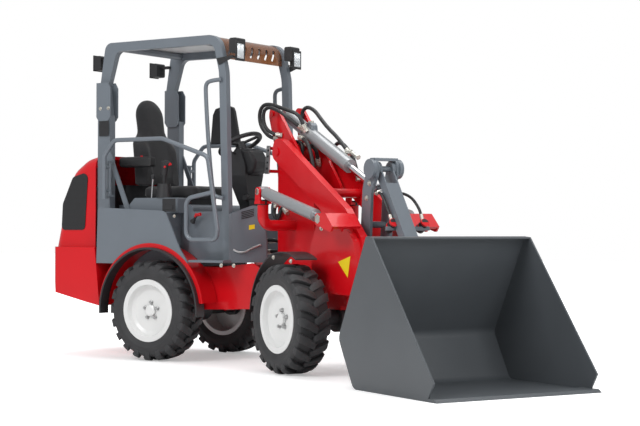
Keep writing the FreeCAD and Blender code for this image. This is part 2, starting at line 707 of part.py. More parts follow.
def hood():
    piece = Piece("hood", "rear")
    foot = S.weight_top + S.running_gap
    outline = [(S.hood_front, foot), (S.hood_front, S.hood_top), (S.hood_brow_x, S.hood_brow_z, 200),
               (S.hood_crest_x, S.hood_crest_z, 160), (S.hood_shoulder_x, S.hood_shoulder_z, 140),
               (S.hood_tail_x, foot)]
    piece.pad("XZ", [outline], -S.hood_width / 2, S.hood_width)
    side = S.hood_width.number / 2

    def top_edge(edge):
        box = edge.BoundBox
        on_side = near(abs(box.YMin), side) and near(abs(box.YMax), side)
        low = near(box.ZMax, foot.number)
        upright = near(box.XMin, S.hood_front.number) and near(box.XMax, S.hood_front.number)
        return on_side and not low and not upright

    piece.soften("Fillet", S.hood_round, top_edge)
    inner = [(S.hood_front + 1, foot - 1), (S.hood_front + 1, S.hood_top - S.hood_sheet * 3),
             (S.hood_brow_x, S.hood_brow_z - S.hood_sheet * 3, 180),
             (S.hood_crest_x + S.hood_sheet * 2, S.hood_crest_z - S.hood_sheet * 2.4, 140),
             (S.hood_shoulder_x + S.hood_sheet * 2.4, S.hood_shoulder_z - S.hood_sheet, 120),
             (S.hood_tail_x + S.hood_sheet * 1.2, foot - 1)]
    half = S.hood_width / 2 - S.hood_round * 0.45
    piece.pocket("XZ", [inner], -half, half * 2)
    side_room = [(S.hood_front + 1, foot - 1), (S.hood_front + 1, S.hood_top - S.hood_round),
                 (S.hood_brow_x, S.hood_brow_z - S.hood_round * 1.1, 120),
                 (S.hood_shoulder_x + S.hood_round, S.hood_shoulder_z - S.hood_round * 0.6, 120),
                 (S.hood_tail_x + S.hood_round, foot - 1)]
    wide = S.hood_width / 2 - S.hood_sheet
    piece.pocket("XZ", [side_room], -wide, wide * 2)


def hood_grilles():
    piece = Piece("hood_grilles", "rear")
    outline = [(-1407, 1298, 40), (-1549, 1262, 40), (-1645, 1073, 60), (-1656, 888, 30), (-1436, 888, 30)]
    piece.pad("XZ", [outline], S.hood_width / 2, S.grille_proud)
    piece.mirror()


def platform():
    piece = Piece("platform", "rear")
    narrow, wide = S.floor_width / 2, S.sill_width / 2
    rear_y = S.arch_inner_y - S.running_gap
    plan = [(S.floor_rear, -rear_y), (S.sill_rear, -rear_y), (S.sill_rear, -wide), (S.floor_front, -wide),
            (S.floor_front, wide), (S.sill_rear, wide), (S.sill_rear, rear_y), (S.floor_rear, rear_y)]
    piece.pad("XY", [plan], S.floor_top - S.floor_sheet, S.floor_sheet)
    inner = narrow - S.panel_sheet
    bulkhead = rectangle(S.floor_front - S.panel_sheet, S.floor_top - 1, S.floor_front, S.bulkhead_top)
    piece.pad("XZ", [bulkhead], -inner, inner * 2)
    low = S.floor_top - S.floor_sheet
    foot_x = S.floor_front - S.panel_sheet
    for side in (1, -1):
        cheek = [(foot_x, inner * side), (S.cheek_nose_x, (S.cheek_nose_y - S.panel_sheet) * side),
                 (S.cheek_nose_x, S.cheek_nose_y * side), (foot_x, narrow * side)]
        piece.pad("XY", [cheek], low, S.cheek_brow_z - low)
    over = [(foot_x - 1, S.cheek_brow_z - 70), (S.cheek_brow_x, S.cheek_brow_z, 24),
            (S.cheek_nose_x - 8, S.cheek_brow_z - 112, 30), (S.cheek_nose_x + 1, S.cheek_nose_top),
            (S.cheek_nose_x + 1, S.cheek_brow_z + 1), (foot_x - 1, S.cheek_brow_z + 1)]
    piece.pocket("XZ", [over], -narrow - 1, narrow * 2 + 2)
    closed_side(piece)


def closed_side(piece):
    """The footwell's right side: a sheet from the seat console to the cheek, inside the front post."""
    out = S.front_post_y - S.tube_width - S.running_gap
    rear = S.console_front + S.running_gap
    outline = [(rear, S.floor_top - 1), (rear, S.footwell_top),
               (S.floor_front - 1, S.footwell_top, 12), (S.floor_front - 1, S.floor_top - 1)]
    piece.pad("XZ", [outline], -out, S.panel_sheet)
    arch = (-S.axle_reach, S.tyre_radius, S.arch_radius + S.arch_band + S.running_gap)
    piece.pocket("XZ", [arch], -out - 1, S.panel_sheet + 2)


def side_panel(side):
    name = "side_panel_" + side
    piece = Piece(name, "rear")
    outline = [(S.side_rear_low, S.side_low), (S.side_rear_high, S.side_top_rear, 16),
               (S.side_front_high, S.side_top_front, 60), (S.side_step_x, S.side_step_z, 60),
               (S.sill_rear, S.floor_top - S.floor_sheet, 10), (S.sill_rear, S.side_low)]
    out = S.side_width / 2
    low = -out if side == "right" else out - S.panel_sheet
    piece.pad("XZ", [outline], low, S.panel_sheet)
    arch = (-S.axle_reach, S.tyre_radius, S.arch_radius + S.arch_band + S.running_gap)
    piece.pocket("XZ", [arch], low - 1, S.panel_sheet + 2)


def ring_cutter(piece, radius, low, depth, foot):
    """Cut away all of the ring that lies lower than foot."""
    reach = radius + 20
    piece.pocket("XZ", [rectangle(-S.axle_reach - reach, S.tyre_radius - reach, -S.axle_reach + reach, foot)],
                 low - 1, depth + 2)


def wheel_arches():
    piece = Piece("wheel_arches", "rear")
    middle = (-S.axle_reach, S.tyre_radius)
    out = S.side_width / 2
    outer = S.arch_radius + S.arch_band
    piece.pad("XZ", [(*middle, outer)], out - S.panel_sheet, S.panel_sheet + 2)
    piece.pad("XZ", [(*middle, S.arch_radius + S.arch_sheet)], S.arch_inner_y, out + 2 - S.arch_inner_y)
    piece.pocket("XZ", [(*middle, S.arch_radius)], S.arch_inner_y - 1, out + 4 - S.arch_inner_y)
    ring_cutter(piece, outer, S.arch_inner_y, out - S.arch_inner_y + 4, S.tyre_radius + 60)
    piece.mirror()


def rear_fenders():
    piece = Piece("rear_fenders", "rear")
    middle = (-S.axle_reach, S.tyre_radius)
    outer = S.arch_radius - S.running_gap
    depth = S.fender_outer_y - S.fender_inner_y
    piece.pad("XZ", [(*middle, outer), (*middle, outer - S.fender_sheet)], S.fender_inner_y, depth)
    ring_cutter(piece, outer, S.fender_inner_y, depth, S.tyre_radius - 30)
    piece.mirror()


def console():
    piece = Piece("console", "rear")
    low = S.chassis_high
    outline = [(S.chassis_rear, low), (S.chassis_rear, S.console_top),
               (S.console_front, S.console_top, S.console_nose), (S.console_front, low)]
    inner = S.arch_inner_y - S.panel_sheet
    piece.pad("XZ", [outline], -inner, inner * 2)
    wide = S.side_width / 2 - S.panel_sheet - S.running_gap
    rear_x = S.post_rear + S.post_depth + S.running_gap
    lid = [(rear_x, S.tyre_radius + S.arch_radius + S.arch_sheet + S.running_gap),
           (rear_x, S.side_top_front - 12), (S.side_front_high - 20, S.side_top_front - 12),
           (S.side_front_high - 20, S.tyre_radius + S.arch_radius + S.arch_sheet + S.running_gap)]
    piece.pad("XZ", [lid], -wide, wide * 2)
    box = [(S.box_rear, S.side_top_front - 13), (S.box_rear + S.box_slope, S.box_top, 12),
           (S.box_front, S.box_top, 12), (S.box_front, S.side_top_front - 13)]
    piece.pad("XZ", [box], -S.box_outer_y, S.box_outer_y - S.box_inner_y)


def seat():
    base = Piece("seat_base", "rear")
    middle_x = S.seat_front - S.seat_depth / 2 - 20
    half_x, half_y = S.bellows_length / 2, S.bellows_width / 2
    base.pad("XY", [rectangle(middle_x - half_x, -half_y, middle_x + half_x, half_y, 40)],
             S.console_top, S.cushion_low - S.console_top - S.running_gap)
    cushion = Piece("seat_cushion", "rear")
    half = S.seat_width / 2
    cushion.pad("XY", [rectangle(S.seat_front - S.seat_depth, -half, S.seat_front, half, 60)],
                S.cushion_low, S.cushion_thick)
    back = Piece("seat_backrest", "rear")
    foot = S.cushion_low + S.cushion_thick + S.running_gap
    lean = [(S.back_foot_x, foot), (S.back_foot_x - S.back_lean, foot + S.back_height, 40),
            (S.back_foot_x - S.back_lean - S.back_thick, foot + S.back_height, 40),
            (S.back_foot_x - S.back_thick, foot, 20)]
    back.pad("XZ", [lean], -S.back_width / 2, S.back_width)
    for side in (1, -1):
        shoulder = [(side * S.back_width / 2 + side, foot + S.back_neck),
                    (side * S.back_width / 2 + side, foot + S.back_height + 1),
                    (side * S.back_head_width / 2, foot + S.back_height + 1),
                    (side * S.back_head_width / 2, foot + S.back_neck + 70, 40)]
        back.pocket("YZ", [shoulder], S.back_foot_x - S.back_lean - S.back_thick - 10,
                    S.back_lean + S.back_thick + 20)


def controls():
    pad = Piece("armrest", "rear")
    low = S.arm_pad_low
    front = S.arm_pad_rear + S.arm_pad_length
    pad.pad("XZ", [rectangle(S.arm_pad_rear, low, front, low + S.arm_pad_thick, 14)],
            -S.arm_pad_y - S.arm_pad_width / 2, S.arm_pad_width)
    reach = S.arm_pad_y - S.arm_pad_width / 2 - S.back_width / 2
    pad.pad("XZ", [rectangle(S.arm_pad_rear + 20, low + 20, S.arm_pad_rear + 70, low + 60, 8)],
            -S.back_width / 2 - reach - 1, reach + 1)
    stick = Piece("joystick", "rear")
    foot = S.box_top
    profile = [(0, foot), (S.stick_base, foot), (S.stick_base * 0.8, foot + S.boot_height),
               (S.stick_thin, foot + S.boot_height), (S.stick_thin, foot + S.stick_height * 0.55),
               (S.stick_radius, foot + S.stick_height * 0.62), (S.stick_radius, foot + S.stick_height, 10),
               (0, foot + S.stick_height)]
    stick.revolve("XZ", [profile], -S.stick_y, (S.stick_x, 0), "V_Axis")


def steering():
    pod = Piece("steering_column", "rear")
    top_x = S.steer_x + sine(S.steer_tilt) * S.steer_drop
    top_z = S.steer_z - cosine(S.steer_tilt) * S.steer_drop
    flat_x, flat_z = cosine(S.steer_tilt) * S.column_half, sine(S.steer_tilt) * S.column_half
    outline = [(S.pod_foot_front, S.floor_top), (S.pod_foot_front - 14, S.pod_waist_z, 80),
               (S.pod_head_front, S.pod_head_z + 60, 60), (top_x + flat_x, top_z + flat_z, 16),
               (top_x - flat_x, top_z - flat_z, 16), (S.pod_head_rear, S.pod_head_z + 50, 30),
               (S.pod_head_rear, S.pod_head_z, 40), (S.pod_waist_rear, S.pod_waist_z, 80),
               (S.pod_foot_rear, S.floor_top)]
    pod.pad("XZ", [outline], -S.pod_width / 2, S.pod_width)
    for side in (1, -1):
        out, foot = S.pod_width / 2 * side, S.pod_foot_width / 2 * side
        beside = [(foot, S.floor_top - 1), (out + side, S.floor_top - 1), (out + side, S.pod_head_z + 20),
                  (out, S.pod_head_z, 40), (foot, S.pod_waist_z, 80)]
        pod.pocket("YZ", [beside], S.pod_head_rear - 10, S.pod_head_front - S.pod_head_rear + 20)


def steering_wheel():
    """The ring, its spokes and hub, drawn level on the column and tilted with it."""
    ring = doc.addObject("Part::Torus", "steering_ring")
    bind(ring, "Radius1", S.steer_radius)
    bind(ring, "Radius2", S.steer_ring)
    hub = doc.addObject("Part::Cylinder", "steering_hub")
    bind(hub, "Radius", S.steer_ring * 2.4)
    bind(hub, "Height", S.steer_drop - S.running_gap + S.steer_ring / 2)
    hub.Placement.Base.z = S.running_gap.number - S.steer_drop.number
    hub.setExpression(".Placement.Base.z", (S.running_gap - S.steer_drop).text)
    spokes = []
    for index in range(3):
        spoke = doc.addObject("Part::Cylinder", "steering_spoke")
        bind(spoke, "Radius", S.steer_ring * 0.7)
        bind(spoke, "Height", S.steer_radius)
        spoke.Placement = FreeCAD.Placement(FreeCAD.Vector(0, 0, 0), FreeCAD.Rotation(index * 120, 0, 90))
        spokes.append(spoke)
    wheel = doc.addObject("Part::MultiFuse", "steering_wheel")
    wheel.Label = "steering_wheel"
    wheel.Shapes = [ring, hub] + spokes
    wheel.Placement = FreeCAD.Placement(FreeCAD.Vector(0, 0, 0),
                                        FreeCAD.Rotation(FreeCAD.Vector(0, 1, 0), -S.steer_tilt.number))
    wheel.setExpression(".Placement.Base.x", (S.pivot_x + S.steer_x).text)
    wheel.setExpression(".Placement.Base.y", S.pivot_y.text)
    wheel.setExpression(".Placement.Base.z", S.steer_z.text)
    parts.append(wheel)


# ---------------------------------------------------------------- canopy and guards

def canopy_frame():
    piece = Piece("canopy_frame", "rear")
    outer = S.post_outer_y
    post = rectangle(S.post_rear, S.weight_top, S.post_rear + S.post_depth, S.post_top)
    piece.pad("XZ", [post], outer - S.post_width, S.post_width)
    deep = S.tube_depth
    rear_x = S.post_rear + S.post_depth
    kink_z = S.sleeve_top - 40
    upper = [(S.post_rear + 20, S.post_top - 6), (S.post_rear + 20 - S.post_kink, kink_z, 60),
             (S.roof_rear_x - deep - 24, S.roof_top, 60), (S.roof_front_x, S.roof_top, S.roof_bend),
             (S.front_post_x + 34, S.front_post_z, 300), (S.front_foot_x + 20, S.floor_top),
             (S.front_foot_x - 36, S.floor_top), (S.front_post_x - 24, S.front_post_z, 300),
             (S.roof_front_x - 44, S.roof_top - deep, S.roof_bend * 0.5),
             (S.roof_rear_x + 14, S.roof_top - deep, 60),
             (S.post_rear + 20 - S.post_kink + deep + 12, kink_z, 60), (rear_x - 20, S.post_top - 6)]
    piece.pad("XZ", [upper], S.front_post_y - S.tube_width, S.tube_width)
    low, side = S.post_top - 40, S.sleeve_sheet
    sleeve = [(S.post_rear - side, low + 30), (S.post_rear + 14, low), (rear_x - 14, low),
              (rear_x + side, low + 30), (rear_x + side, S.sleeve_top - 40), (rear_x - 16, S.sleeve_top),
              (S.post_rear - side, S.sleeve_top)]
    for y in (outer - 1, S.front_post_y - S.tube_width - side):
        piece.pad("XZ", [sleeve], y, side + 1)
    brace = [(rear_x - 2, S.brace_rise + S.brace_width),
             (S.brace_foot_x + S.brace_width, S.side_top_front - 2),
             (S.brace_foot_x, S.side_top_front - 2), (rear_x - 2, S.brace_rise - S.brace_width)]
    piece.pad("XZ", [brace], outer - S.panel_sheet, S.panel_sheet)
    piece.mirror()
    inner = S.front_post_y - S.tube_width / 2
    for x in (S.roof_rear_x, S.roof_front_x - S.roof_bend - S.cross_radius * 2):
        piece.pad("XZ", [(x, S.roof_top - deep / 2 - 4, S.cross_radius)], -inner, inner * 2)


def roof_panel():
    """The flat sheet between the roof tubes."""
    piece = Piece("roof_panel", "rear")
    inner = S.front_post_y - S.tube_width - S.running_gap
    low = S.roof_top - S.roof_sheet - 2
    sheet = rectangle(S.roof_rear_x - 30, -inner, S.roof_front_x - S.roof_bend, inner)
    piece.pad("XY", [sheet], low, S.roof_sheet)


def roof_visor():
    """The tinted sheet that carries on from the roof and curves down in front, with its row of slots."""
    piece = Piece("roof_visor", "rear")
    inner = S.front_post_y - S.tube_width - S.running_gap
    low = S.roof_top - S.roof_sheet - 2
    rear_x = S.roof_front_x - S.roof_bend + S.running_gap
    sheet, bend = S.roof_sheet, S.visor_bend
    section = [(rear_x, low), (rear_x, low + sheet), (S.roof_front_x + 8, low + sheet, bend + sheet),
               (S.visor_foot_x + sheet * 2, S.visor_foot_z), (S.visor_foot_x + sheet, S.visor_foot_z),
               (S.roof_front_x, low, bend)]
    piece.pad("XZ", [section], -inner, inner * 2)
    half = S.visor_slot_width / 2
    first = -(S.visor_slots - 1) / 2 * S.visor_slot_pitch
    lean = S.visor_slot_width
    for index in range(int(S.visor_slots.number)):
        y = first + index * S.visor_slot_pitch
        slot = [(y - half - lean, S.visor_foot_z + 26, 8), (y + half - lean, S.visor_foot_z + 26, 8),
                (y + half + lean / 2, low - 40, 8), (y - half + lean / 2, low - 40, 8)]
        piece.pocket("YZ", [slot], S.roof_front_x - bend, bend * 2)


def lamp(piece, x, z, y):
    """One lamp body with its middle at x, y and z."""
    piece.pad("XZ", [rectangle(x - S.lamp_depth / 2, z - S.lamp_height / 2, x + S.lamp_depth / 2,
                               z + S.lamp_height / 2, 14)], y - S.lamp_width / 2, S.lamp_width)


def work_lights():
    front = Piece("front_work_lights", "rear")
    x, z = S.lamp_front_x + S.lamp_depth / 2, S.lamp_front_z
    lamp(front, x, z, S.lamp_front_y)
    low = z - S.lamp_height / 2
    plate_y = S.front_post_y + S.running_gap
    gusset = [(S.front_post_x - 20, low - 78), (S.front_post_x - 40, low - 34), (x + 22, low - 18, 8),
              (x + 22, low - 34, 8)]
    front.pad("XZ", [gusset], plate_y, S.sleeve_sheet)
    shelf = rectangle(x - 22, low - 34, x + 22, low - 26)
    front.pad("XZ", [shelf], S.lamp_front_y - 20, plate_y - S.lamp_front_y + 21)
    front.pad("XY", [(x, S.lamp_front_y, 14)], low - 27, 28)
    front.mirror()
    rear = Piece("rear_work_lights", "rear")
    lamp(rear, S.lamp_rear_x, S.lamp_rear_z, S.lamp_rear_y)
    stalk = rectangle(S.lamp_rear_x + 20, S.lamp_rear_z + 10, S.roof_rear_x - 90, S.lamp_rear_z + 30)
    rear.pad("XZ", [stalk], S.lamp_rear_y, S.front_post_y - S.tube_width - S.running_gap - S.lamp_rear_y)
    rear.mirror()


def guard_bar(side):
    piece = Piece("guard_bar_" + side, "rear")
    sign = -1 if side == "right" else 1
    y = S.bar_y * sign
    bend = S.bar_bend
    bar = [(S.bar_rear_x, S.bar_foot), (S.bar_rear_x, S.bar_shoulder_z, bend),
           (S.bar_top_x, S.bar_top_z, bend),
           (S.bar_drop_x, S.bar_top_z, bend * 2), (S.bar_front_x, S.bar_front_z, bend),
           (S.bar_toe_x, S.bar_toe_z + 60)]
    piece.pipe("XZ", bar, S.bar_radius, y)
    loop = [(S.bar_front_x + 40, S.loop_top + 40), (S.loop_rear_x, S.loop_top, bend),
            (S.loop_rear_x, S.bar_toe_z, bend), (S.bar_toe_x - 10, S.bar_toe_z, 40),
            (S.bar_toe_x, S.bar_toe_z + 70)]
    piece.pipe("XZ", loop, S.bar_radius, y)
    low = S.bar_hinge_y if side == "left" else -S.bar_y
    for rise in (0, 160):
        hinge = (S.bar_rear_x, S.bar_foot + 60 + rise, S.bar_radius * 0.8)
        piece.pad("XZ", [hinge], low, S.bar_y - S.bar_hinge_y)
    piece.pad("XY", [(S.bar_rear_x, S.bar_hinge_y * sign, S.bar_radius)], S.bar_foot + 30, 220)


def guard_hinges():
    """Brackets on the rear posts that hold the guards' upright hinge pins, cut back for the swinging leg."""
    piece = Piece("guard_hinges", "rear")
    rear_x = S.post_rear + S.post_depth
    nose_x, tip_y = S.bar_rear_x + S.bar_radius, S.bar_hinge_y + S.bar_radius
    plan = [(rear_x - 60, S.post_outer_y), (nose_x, S.post_outer_y), (nose_x, tip_y),
            (nose_x - S.bar_radius * 2, tip_y),
            (rear_x - 6, S.post_outer_y + 18), (rear_x - 60, S.post_outer_y + 18)]
    for z in (S.bar_foot + 30 - S.running_gap - 12, S.bar_foot + 250 + S.running_gap):
        piece.pad("XY", [plan], z, 12)
    piece.mirror()


# ---------------------------------------------------------------- running gear

def axle(name, frame, middle_x):
    piece = Piece(name, frame)
    reach = S.wheel_track / 2 - S.rim_width / 2 + S.rim_width - S.dish_depth - S.rim_sheet - S.running_gap
    centre = (middle_x, S.tyre_radius)
    piece.pad("XZ", [(*centre, S.axle_radius)], -reach + 10, reach * 2 - 20)
    piece.pad("XZ", [(*centre, S.axle_middle_radius)], -S.axle_middle_width / 2, S.axle_middle_width)
    for low in (-reach, reach - S.hub_depth):
        piece.pad("XZ", [(*centre, S.hub_radius)], low, S.hub_depth)


def rim_profile():
    """Section of the rim and its disc, out from the wheel's middle along y, on the left side."""
    half = S.rim_width / 2
    sheet = S.rim_sheet
    inside = S.bead_radius - sheet
    disc = half - S.dish_depth
    cap = S.hub_cap_radius
    return [(disc - sheet, 0), (disc - sheet, inside), (-half, inside), (-half, S.flange_radius),
            (-half + sheet, S.flange_radius), (-half + sheet, S.bead_radius), (half - sheet, S.bead_radius),
            (half - sheet, S.flange_radius), (half, S.flange_radius), (half, inside - 6),
            (disc + 14, inside - 18, 12), (disc, inside - 40, 20), (disc, cap),
            (disc + S.hub_cap_depth - 6, cap),
            (disc + S.hub_cap_depth, cap - 10), (disc + S.hub_cap_depth, 0)]


def wheel(name, frame, middle_x, side):
    sign = 1 if side == "left" else -1
    y = S.wheel_track / 2 * sign
    rim = Piece(name + "_rim", frame)
    profile = [(size_of(corner[0]) * sign, *corner[1:]) for corner in rim_profile()]
    rim.revolve("YZ", [profile], middle_x, (y, S.tyre_radius), "H_Axis")
    disc = S.rim_width / 2 - S.dish_depth
    first = y + disc - 1 if side == "left" else y - disc - 12
    for index in range(int(S.wheel_bolts.number)):
        turn = index * 360 / S.wheel_bolts.number + 90
        place = size_of(turn)
        across = middle_x + S.wheel_bolt_circle / 2 * cosine(place)
        up = S.tyre_radius + S.wheel_bolt_circle / 2 * sine(place)
        rim.pad("XZ", [(across, up, S.wheel_bolt_radius)], first, 13)
    tyre = Piece(name + "_tyre", frame)
    half = S.tyre_width / 2
    bead = S.bead_radius + S.running_gap
    wall = S.rim_width / 2 - S.rim_sheet - S.running_gap
    section = [(-wall, bead), (-wall, S.flange_radius), (-half, S.flange_radius + 24, 12),
               (-half, S.tyre_radius, S.tyre_shoulder), (half, S.tyre_radius, S.tyre_shoulder),
               (half, S.flange_radius + 24, 12), (wall, S.flange_radius), (wall, bead)]
    tyre.revolve("YZ", [section], middle_x, (y, S.tyre_radius), "H_Axis")


# ---------------------------------------------------------------- front frame

def front_frame():
    piece = Piece("front_frame", "front")
    inner = S.tower_gap / 2
    plate = [(S.tower_rear, S.beam_low), (S.tower_rear, 1330, 80), (S.tilt_pin_x - 52, S.tilt_pin_z - 20, 50),
             (S.tilt_pin_x - 42, S.tilt_pin_z + 52, 44), (S.tilt_pin_x + 50, S.tilt_pin_z + 40, 40),
             (S.arm_pivot_x + 130, S.arm_pivot_z + 20, 80), (S.tower_front - 20, 1180, 60),
             (S.tower_front, S.beam_high + 120, 80), (S.tower_front + 120, S.beam_high, 60),
             (S.beam_front, S.beam_high - 30, 20), (S.beam_front, S.beam_low)]
    piece.pad("XZ", [plate], inner, S.tower_plate)
    lug_top, lug_low = S.pivot_tube_high + S.running_gap, S.pivot_tube_low - S.running_gap - S.lug_plate
    piece.mirror()
    for z in (lug_top, lug_low):
        piece.pad("XY", [(0, 0, S.lug_radius)], z, S.lug_plate)
        piece.pad("XY", [rectangle(0, -S.lug_radius, S.tower_rear + 60, S.lug_radius)], z, S.lug_plate)
        piece.pad("XY", [rectangle(S.tower_rear, -inner - 1, S.tower_rear + 60, inner + 1)], z, S.lug_plate)
    piece.pad("XY", [(0, 0, S.pivot_pin_radius)], lug_low, lug_top + S.lug_plate - lug_low)
    for low_x, low_z, high_z in ((S.tower_rear, S.beam_high + 40, 1300),
                                 (S.tower_front - 60, S.beam_low, 1040),
                                 (S.beam_front - 20, S.beam_low, S.beam_high - 40)):
        piece.pad("XZ", [rectangle(low_x, low_z, low_x + 16, high_z)], -inner - 1, inner * 2 + 2)
    outer = inner + S.tower_plate
    arm_half = S.arm_gap / 2 - S.running_gap
    piece.pad("XZ", [(S.arm_pivot_x, S.arm_pivot_z, S.arm_pivot_radius * 1.9)], -arm_half, arm_half * 2)
    shaft = S.arm_gap / 2 + S.arm_box + 8
    piece.pad("XZ", [(S.arm_pivot_x, S.arm_pivot_z, S.arm_pivot_radius)], -shaft, shaft * 2)
    piece.pad("XZ", [(S.tilt_pin_x, S.tilt_pin_z, S.pin_radius)], -outer - 10, outer * 2 + 20)
    seat_z = S.tyre_radius + S.axle_radius
    seat = rectangle(S.axle_reach - 95, seat_z, S.axle_reach + 95, S.beam_low + 1)
    piece.pad("XZ", [seat], -outer, outer * 2)
    clear_axle(piece, S.axle_reach, outer)


def cylinder_cranks():
    """Bent tubes out of the tower's sides, each with a fork on top for a lift cylinder."""
    piece = Piece("cylinder_cranks", "front")
    inner = S.tower_gap / 2 + S.tower_plate
    route = [(inner, S.crank_z), (S.lift_y, S.crank_z, S.crank_bend), (S.lift_y, S.crank_top)]
    piece.pipe("YZ", route, S.crank_radius, S.crank_x)
    foot = S.crank_top - 1
    gap = S.eye_width / 2 + 2
    plate = rectangle(S.crank_x - 40, S.lift_y - gap - 12, S.crank_x + 40, S.lift_y + gap + 12)
    piece.pad("XY", [plate], foot, 18)
    top = S.lift_rear_z + 30
    ear = [(S.crank_x - 34, foot), (S.crank_x - 30, top, 26), (S.crank_x + 30, top, 26),
           (S.crank_x + 34, foot)]
    for low in (S.lift_y - gap - 12, S.lift_y + gap):
        piece.pad("XZ", [ear], low, 12)
    piece.pad("XZ", [(S.crank_x, S.lift_rear_z, S.pin_radius)], S.lift_y - gap - 18, gap * 2 + 36)
    piece.mirror()


def front_fenders():
    piece = Piece("front_fenders", "front")
    middle = (S.axle_reach, S.tyre_radius)
    outer = S.tyre_radius + S.fender_gap
    depth = S.front_fender_outer - S.front_fender_inner
    piece.pad("XZ", [(*middle, outer), (*middle, outer - S.front_fender_sheet)], S.front_fender_inner, depth)
    reach = outer + 10
    below = rectangle(S.axle_reach - reach, -100, S.axle_reach + reach, S.tyre_radius + 40)
    piece.pocket("XZ", [below], S.front_fender_inner - 1, depth + 2)
    ahead = rectangle(S.axle_reach + 180, 0, S.axle_reach + reach, S.tyre_radius + reach)
    piece.pocket("XZ", [ahead], S.front_fender_inner - 1, depth + 2)
    inner = S.tower_gap / 2 + S.tower_plate
    stay_angle = size_of(142)
    stay = outer - S.front_fender_sheet / 2
    place = (S.axle_reach + cosine(stay_angle) * stay, S.tyre_radius + sine(stay_angle) * stay, 14)
    piece.pad("XZ", [place], inner, S.front_fender_inner - inner + 30)
    piece.mirror()


# ---------------------------------------------------------------- loader

def lift_arm():
    piece = Piece("lift_arm", "front")
    inner = S.arm_gap / 2
    eye = S.arm_eye
    upper = [(S.arm_pivot_x - eye * 0.9, S.arm_pivot_z - eye * 0.35, eye * 0.7),
             (S.arm_pivot_x - eye * 0.42, S.arm_pivot_z + eye * 1.06, eye * 0.7),
             (S.arm_pivot_x + eye * 0.7, S.arm_pivot_z + eye * 0.92, 30),
             (S.knee_x, S.knee_z, 60), (S.leg_front_x, S.leg_front_z, 80), (S.leg_low_x, S.leg_low_z, 60),
             (S.tip_x + S.tip_radius, S.tip_z + 40, 50),
             (S.tip_x + S.tip_radius * 0.7, S.tip_z - S.tip_radius, 40),
             (S.tip_x - S.tip_radius, S.tip_z - S.tip_radius * 0.6, 40), (S.leg_low_x - 60, S.leg_foot_z, 80),
             (S.leg_foot_x, S.leg_foot_z, 20), (S.leg_rear_x + 40, S.leg_foot_z + 60, 30),
             (S.leg_rear_x, S.leg_rear_z, 40), (S.throat_x, S.throat_z, 60)]
    piece.pad("XZ", [upper], inner, S.arm_box)
    leg = [(S.throat_x + 30, S.throat_z - 30, 40), (S.knee_x, S.knee_z - 50, 60),
           (S.leg_front_x - 20, S.leg_front_z - 10, 80), (S.leg_low_x - 16, S.leg_low_z, 60),
           (S.leg_low_x - 60, S.leg_foot_z + 14, 60), (S.leg_foot_x, S.leg_foot_z + 14, 20),
           (S.leg_rear_x + 54, S.leg_foot_z + 70, 30), (S.leg_rear_x + 20, S.leg_rear_z, 40)]
    piece.pad("XZ", [leg], inner + S.arm_box, S.leg_box - S.arm_box)
    gap = S.eye_width / 2 + 3
    bracket = [(S.lift_front_x - 34, S.lift_front_z + 34, 24), (S.lift_front_x + 90, S.lift_front_z + 36, 30),
               (S.lift_front_x + 176, S.lift_front_z - 46, 16),
               (S.lift_front_x + 150, S.lift_front_z - 80, 16),
               (S.lift_front_x - 34, S.lift_front_z - 34, 24)]
    for low in (S.lift_y - gap - 12, S.lift_y + gap):
        piece.pad("XZ", [bracket], low, 12)
    web = [(S.lift_front_x + 74, S.lift_front_z + 36), (S.lift_front_x + 92, S.lift_front_z + 34),
           (S.lift_front_x + 176, S.lift_front_z - 46), (S.lift_front_x + 158, S.lift_front_z - 60)]
    piece.pad("XZ", [web], inner + S.leg_box - 1, S.lift_y + gap + 13 - inner - S.leg_box)
    pivot = (S.arm_pivot_x, S.arm_pivot_z, S.arm_pivot_radius + S.running_gap)
    piece.pocket("XZ", [pivot], inner - 1, S.arm_box + 2)
    piece.pocket("XZ", [(S.tip_x, S.tip_z, S.hitch_pin_radius + S.running_gap)], inner - 1, S.leg_box + 2)
    piece.mirror()
    piece.pad("XZ", [(S.arm_tube_x, S.arm_tube_z, S.arm_tube_radius)], -inner - 1, inner * 2 + 2)
    lug = [(S.leg_front_x - 160, S.leg_low_z - 20), (S.leg_front_x - 180, S.lever_pin_z - 20, 30),
           (S.lever_pin_x - 42, S.lever_pin_z + 58, 30), (S.lever_pin_x + 52, S.lever_pin_z + 54, 36),
           (S.lever_pin_x + 66, S.leg_low_z - 20)]
    low = S.lever_gap / 2 + S.lever_plate + S.running_gap
    for y in (-low - S.lug_thick, low):
        piece.pad("XZ", [lug], y, S.lug_thick)
        bore = (S.lever_pin_x, S.lever_pin_z, S.lever_pin_radius + S.running_gap)
        piece.pocket("XZ", [bore], y - 1, S.lug_thick + 2)
    piece.pad("XZ", [rectangle(S.leg_front_x - 170, S.leg_low_z - 60, S.leg_front_x - 40, S.leg_low_z - 20)],
              -inner - 1, inner * 2 + 2)


def along(base, tip, share):
    return base + (tip - base) * share


